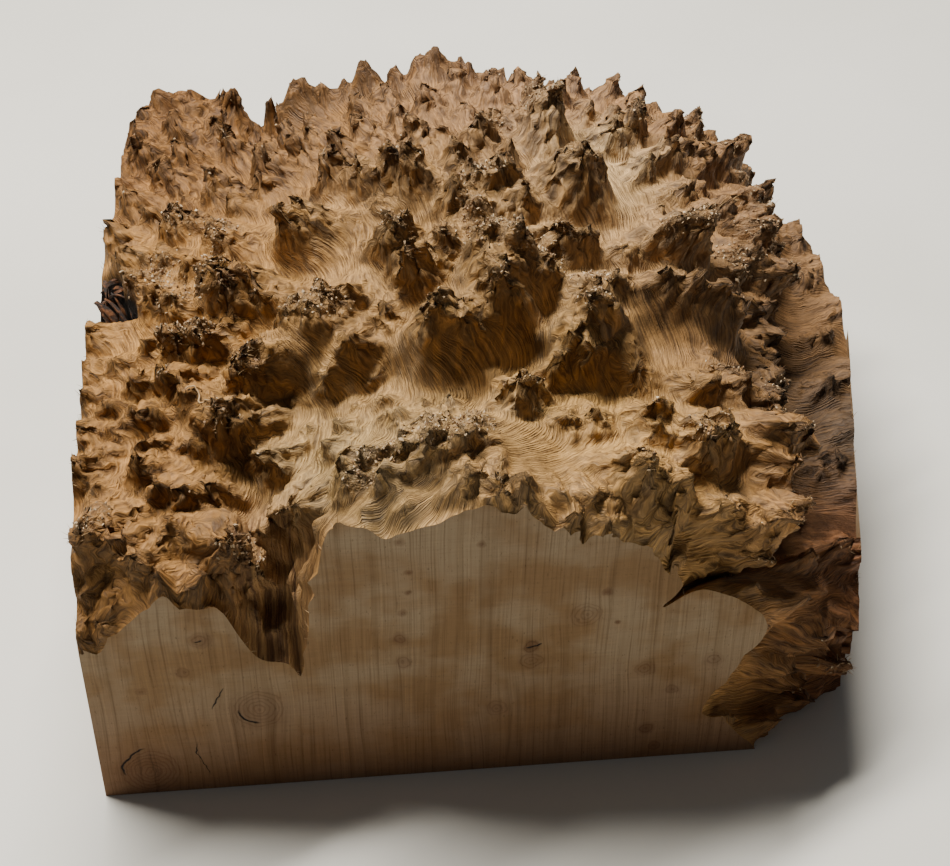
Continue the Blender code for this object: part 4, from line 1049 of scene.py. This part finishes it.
# Each strip: start, run, rise, curl, width, thickness, twist
BARK_STRIPS = [
    ((9, 120, 92), (-7.5, 4, 6), 2, 2.6, 4.4, 0.6, 0.7), ((12, 122, 90), (-8, 10, 4), 2, 2.8, 1.6, 0.5, 0.9),
    ((5, 141, 91), (6, -5, 3), 2, 2.9, 1.2, 0.4, 1.4), ((3, 146, 93), (2, -15, -2), 2, 2.5, 1.5, 0.4, -1.0),
    ((13, 132, 92), (-9, 1, 1), 3, 2.9, 1.2, 0.4, 0.6), ((12, 139, 93), (-8, -6, -1), 2, 2.7, 1.0, 0.4, -1.2),
    ((4, 131, 87), (1, 3, 10), 1, 2.4, 0.9, 0.4, 1.6), ((9, 119, 90), (0.5, 1.5, 7), 1, 2.6, 0.5, 0.3, 0.4),
    ((11, 128, 88), (-5, 6, 7), 2, 2.8, 1.4, 0.4, 1.1), ((6, 124, 88), (-4.5, 6, 7), 2, 2.9, 2.2, 0.5, -0.8),
    ((13, 126, 90), (-3, 12, 3), 2, 2.6, 0.8, 0.3, 0.9), ((7, 136, 89), (-4, -9, 6), 2, 3.0, 1.8, 0.5, 0.7),
    ((2, 139, 92), (7, 2, 2), 2, 2.7, 0.9, 0.3, 1.3), ((10, 144, 94), (-6, -3, 0), 1, 2.6, 0.8, 0.3, -0.7),
]
points, faces = [], []
for strip in BARK_STRIPS:
    more_points, more_faces = ribbon(*strip)
    faces += [tuple(k + len(points) for k in face) for face in more_faces]
    points += [(point - CENTRE) * MM for point in more_points]
bark = mesh_object("bark_shreds", points, faces)
inner_bark, tree, shader = new_material("dark inner bark")
place = node(tree, "ShaderNodeTexCoord").outputs["Object"]
mottle = grain_noise(2.5, 4)
colour = mixed(between(mottle, 0.4, 0.65), linear("1c0f07"), linear("6f4422"))
tree.links.new(colour, shader.inputs["Base Color"])
bark_bump = node(tree, "ShaderNodeBump", {"Height": mottle, "Strength": 0.8, "Distance": 0.0006})
tree.links.new(bark_bump.outputs[0], shader.inputs["Normal"])
shader.inputs["Roughness"].default_value = 0.75
bark.data.materials.append(inner_bark)
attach(bark, "root")


# Curled fibre: one pale fibre about 13 mm long and under a millimetre thick, peeled off the left bumps
# and bent in a hook, lying on the skin.
HOOK = [(33.5, 62.5), (35.0, 63.6), (36.8, 63.0), (37.8, 61.2), (37.6, 58.8), (37.9, 56.4), (38.9, 54.2),
        (40.4, 52.6), (41.6, 52.2)]
HOOK_STEPS, HOOK_SIDES = 32, 6
HOOK_RADIUS = 0.0003
HOOK_LIFT = 0.0006  # its middle above the skin
SMOOTHED_OVER = 9  # points of its course, so that it spans the small hollows

skin_tree = BVHTree.FromPolygons(
    [vert.co for vert in block_mesh.vertices], [face.vertices for face in block_mesh.polygons]
)
course = smooth_curve(np.array(HOOK, float), np.linspace(0, len(HOOK) - 1, HOOK_STEPS + 1))
on_wood = [
    skin_tree.ray_cast((Vector((x, y, 400)) - CENTRE) * MM, Vector((0, 0, -1)))[0] for x, y in course
]
heights = np.pad([point.z for point in on_wood], SMOOTHED_OVER // 2, mode="edge")
heights = np.convolve(heights, np.full(SMOOTHED_OVER, 1 / SMOOTHED_OVER), "valid")
middles = [
    Vector((point.x, point.y, max(height, point.z) + HOOK_LIFT)) for point, height in zip(on_wood, heights)
]
points, faces = [], []
for k, middle in enumerate(middles):
    along_it = (middles[min(k + 1, HOOK_STEPS)] - middles[max(k - 1, 0)]).normalized()
    side = along_it.cross(Vector((0, 0, 1))).normalized()
    thick = HOOK_RADIUS * (1 - 0.75 * (2 * k / HOOK_STEPS - 1) ** 4)
    for turn in np.arange(HOOK_SIDES) * 2 * np.pi / HOOK_SIDES:
        points.append(middle + side * (thick * np.cos(turn)) + side.cross(along_it) * (thick * np.sin(turn)))
    if k:
        faces += ring_faces(HOOK_SIDES * (k - 1), HOOK_SIDES)
last = HOOK_SIDES * HOOK_STEPS
faces += [tuple(reversed(range(HOOK_SIDES))), tuple(range(last, last + HOOK_SIDES))]
hook = mesh_object("curled_fibre", points, faces)
pale_fibre, tree, shader = new_material("pale peeled fibre")
shader.inputs["Base Color"].default_value = linear("ae9068")
shader.inputs["Roughness"].default_value = 0.6
hook.data.materials.append(pale_fibre)
hook.data.shade_smooth()
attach(hook, "root")


# Floor: the pale table top that the block stands on, matt and faintly uneven in tone.
floor = mesh_object("floor", [(-3, -3, 0), (3, -3, 0), (3, 3, 0), (-3, 3, 0)], [(0, 1, 2, 3)])
table_top, tree, shader = new_material("pale painted table top")
place = node(tree, "ShaderNodeTexCoord").outputs["Object"]
cloud = node(tree, "ShaderNodeTexNoise", {"Vector": place, "Scale": 6.0, "Detail": 3.0}).outputs["Fac"]
colour = mixed(between(cloud, 0.3, 0.7), linear("dedcd4"), linear("d6d4cb"))
tree.links.new(colour, shader.inputs["Base Color"])
shader.inputs["Roughness"].default_value = 0.6
floor.data.materials.append(table_top)


# Light: a long narrow lamp high behind the block and a little to its left, which leaves the front in
# shade and its shadow short and soft-edged, and a dim even surround.
def add_lamp(name, place, long, wide, power, colour):
    data = bpy.data.lights.new(name, "AREA")
    data.shape = "RECTANGLE"
    data.size = long
    data.size_y = wide
    data.energy = power
    data.color = linear(colour)[:3]
    lamp = in_scene(name, data)
    lamp.location = place
    lamp.rotation_euler = (Vector((0, 0, 0.06)) - lamp.location).to_track_quat("-Z", "Y").to_euler()


add_lamp("key lamp", Vector((-0.3, 0.5, 1.4)), 1.3, 0.13, 62, "fffaf2")
world = bpy.data.worlds.new("surround")
bpy.context.scene.world = world
world.use_nodes = True
world.node_tree.nodes["Background"].inputs[0].default_value = linear("eef0f4")
world.node_tree.nodes["Background"].inputs[1].default_value = 0.1
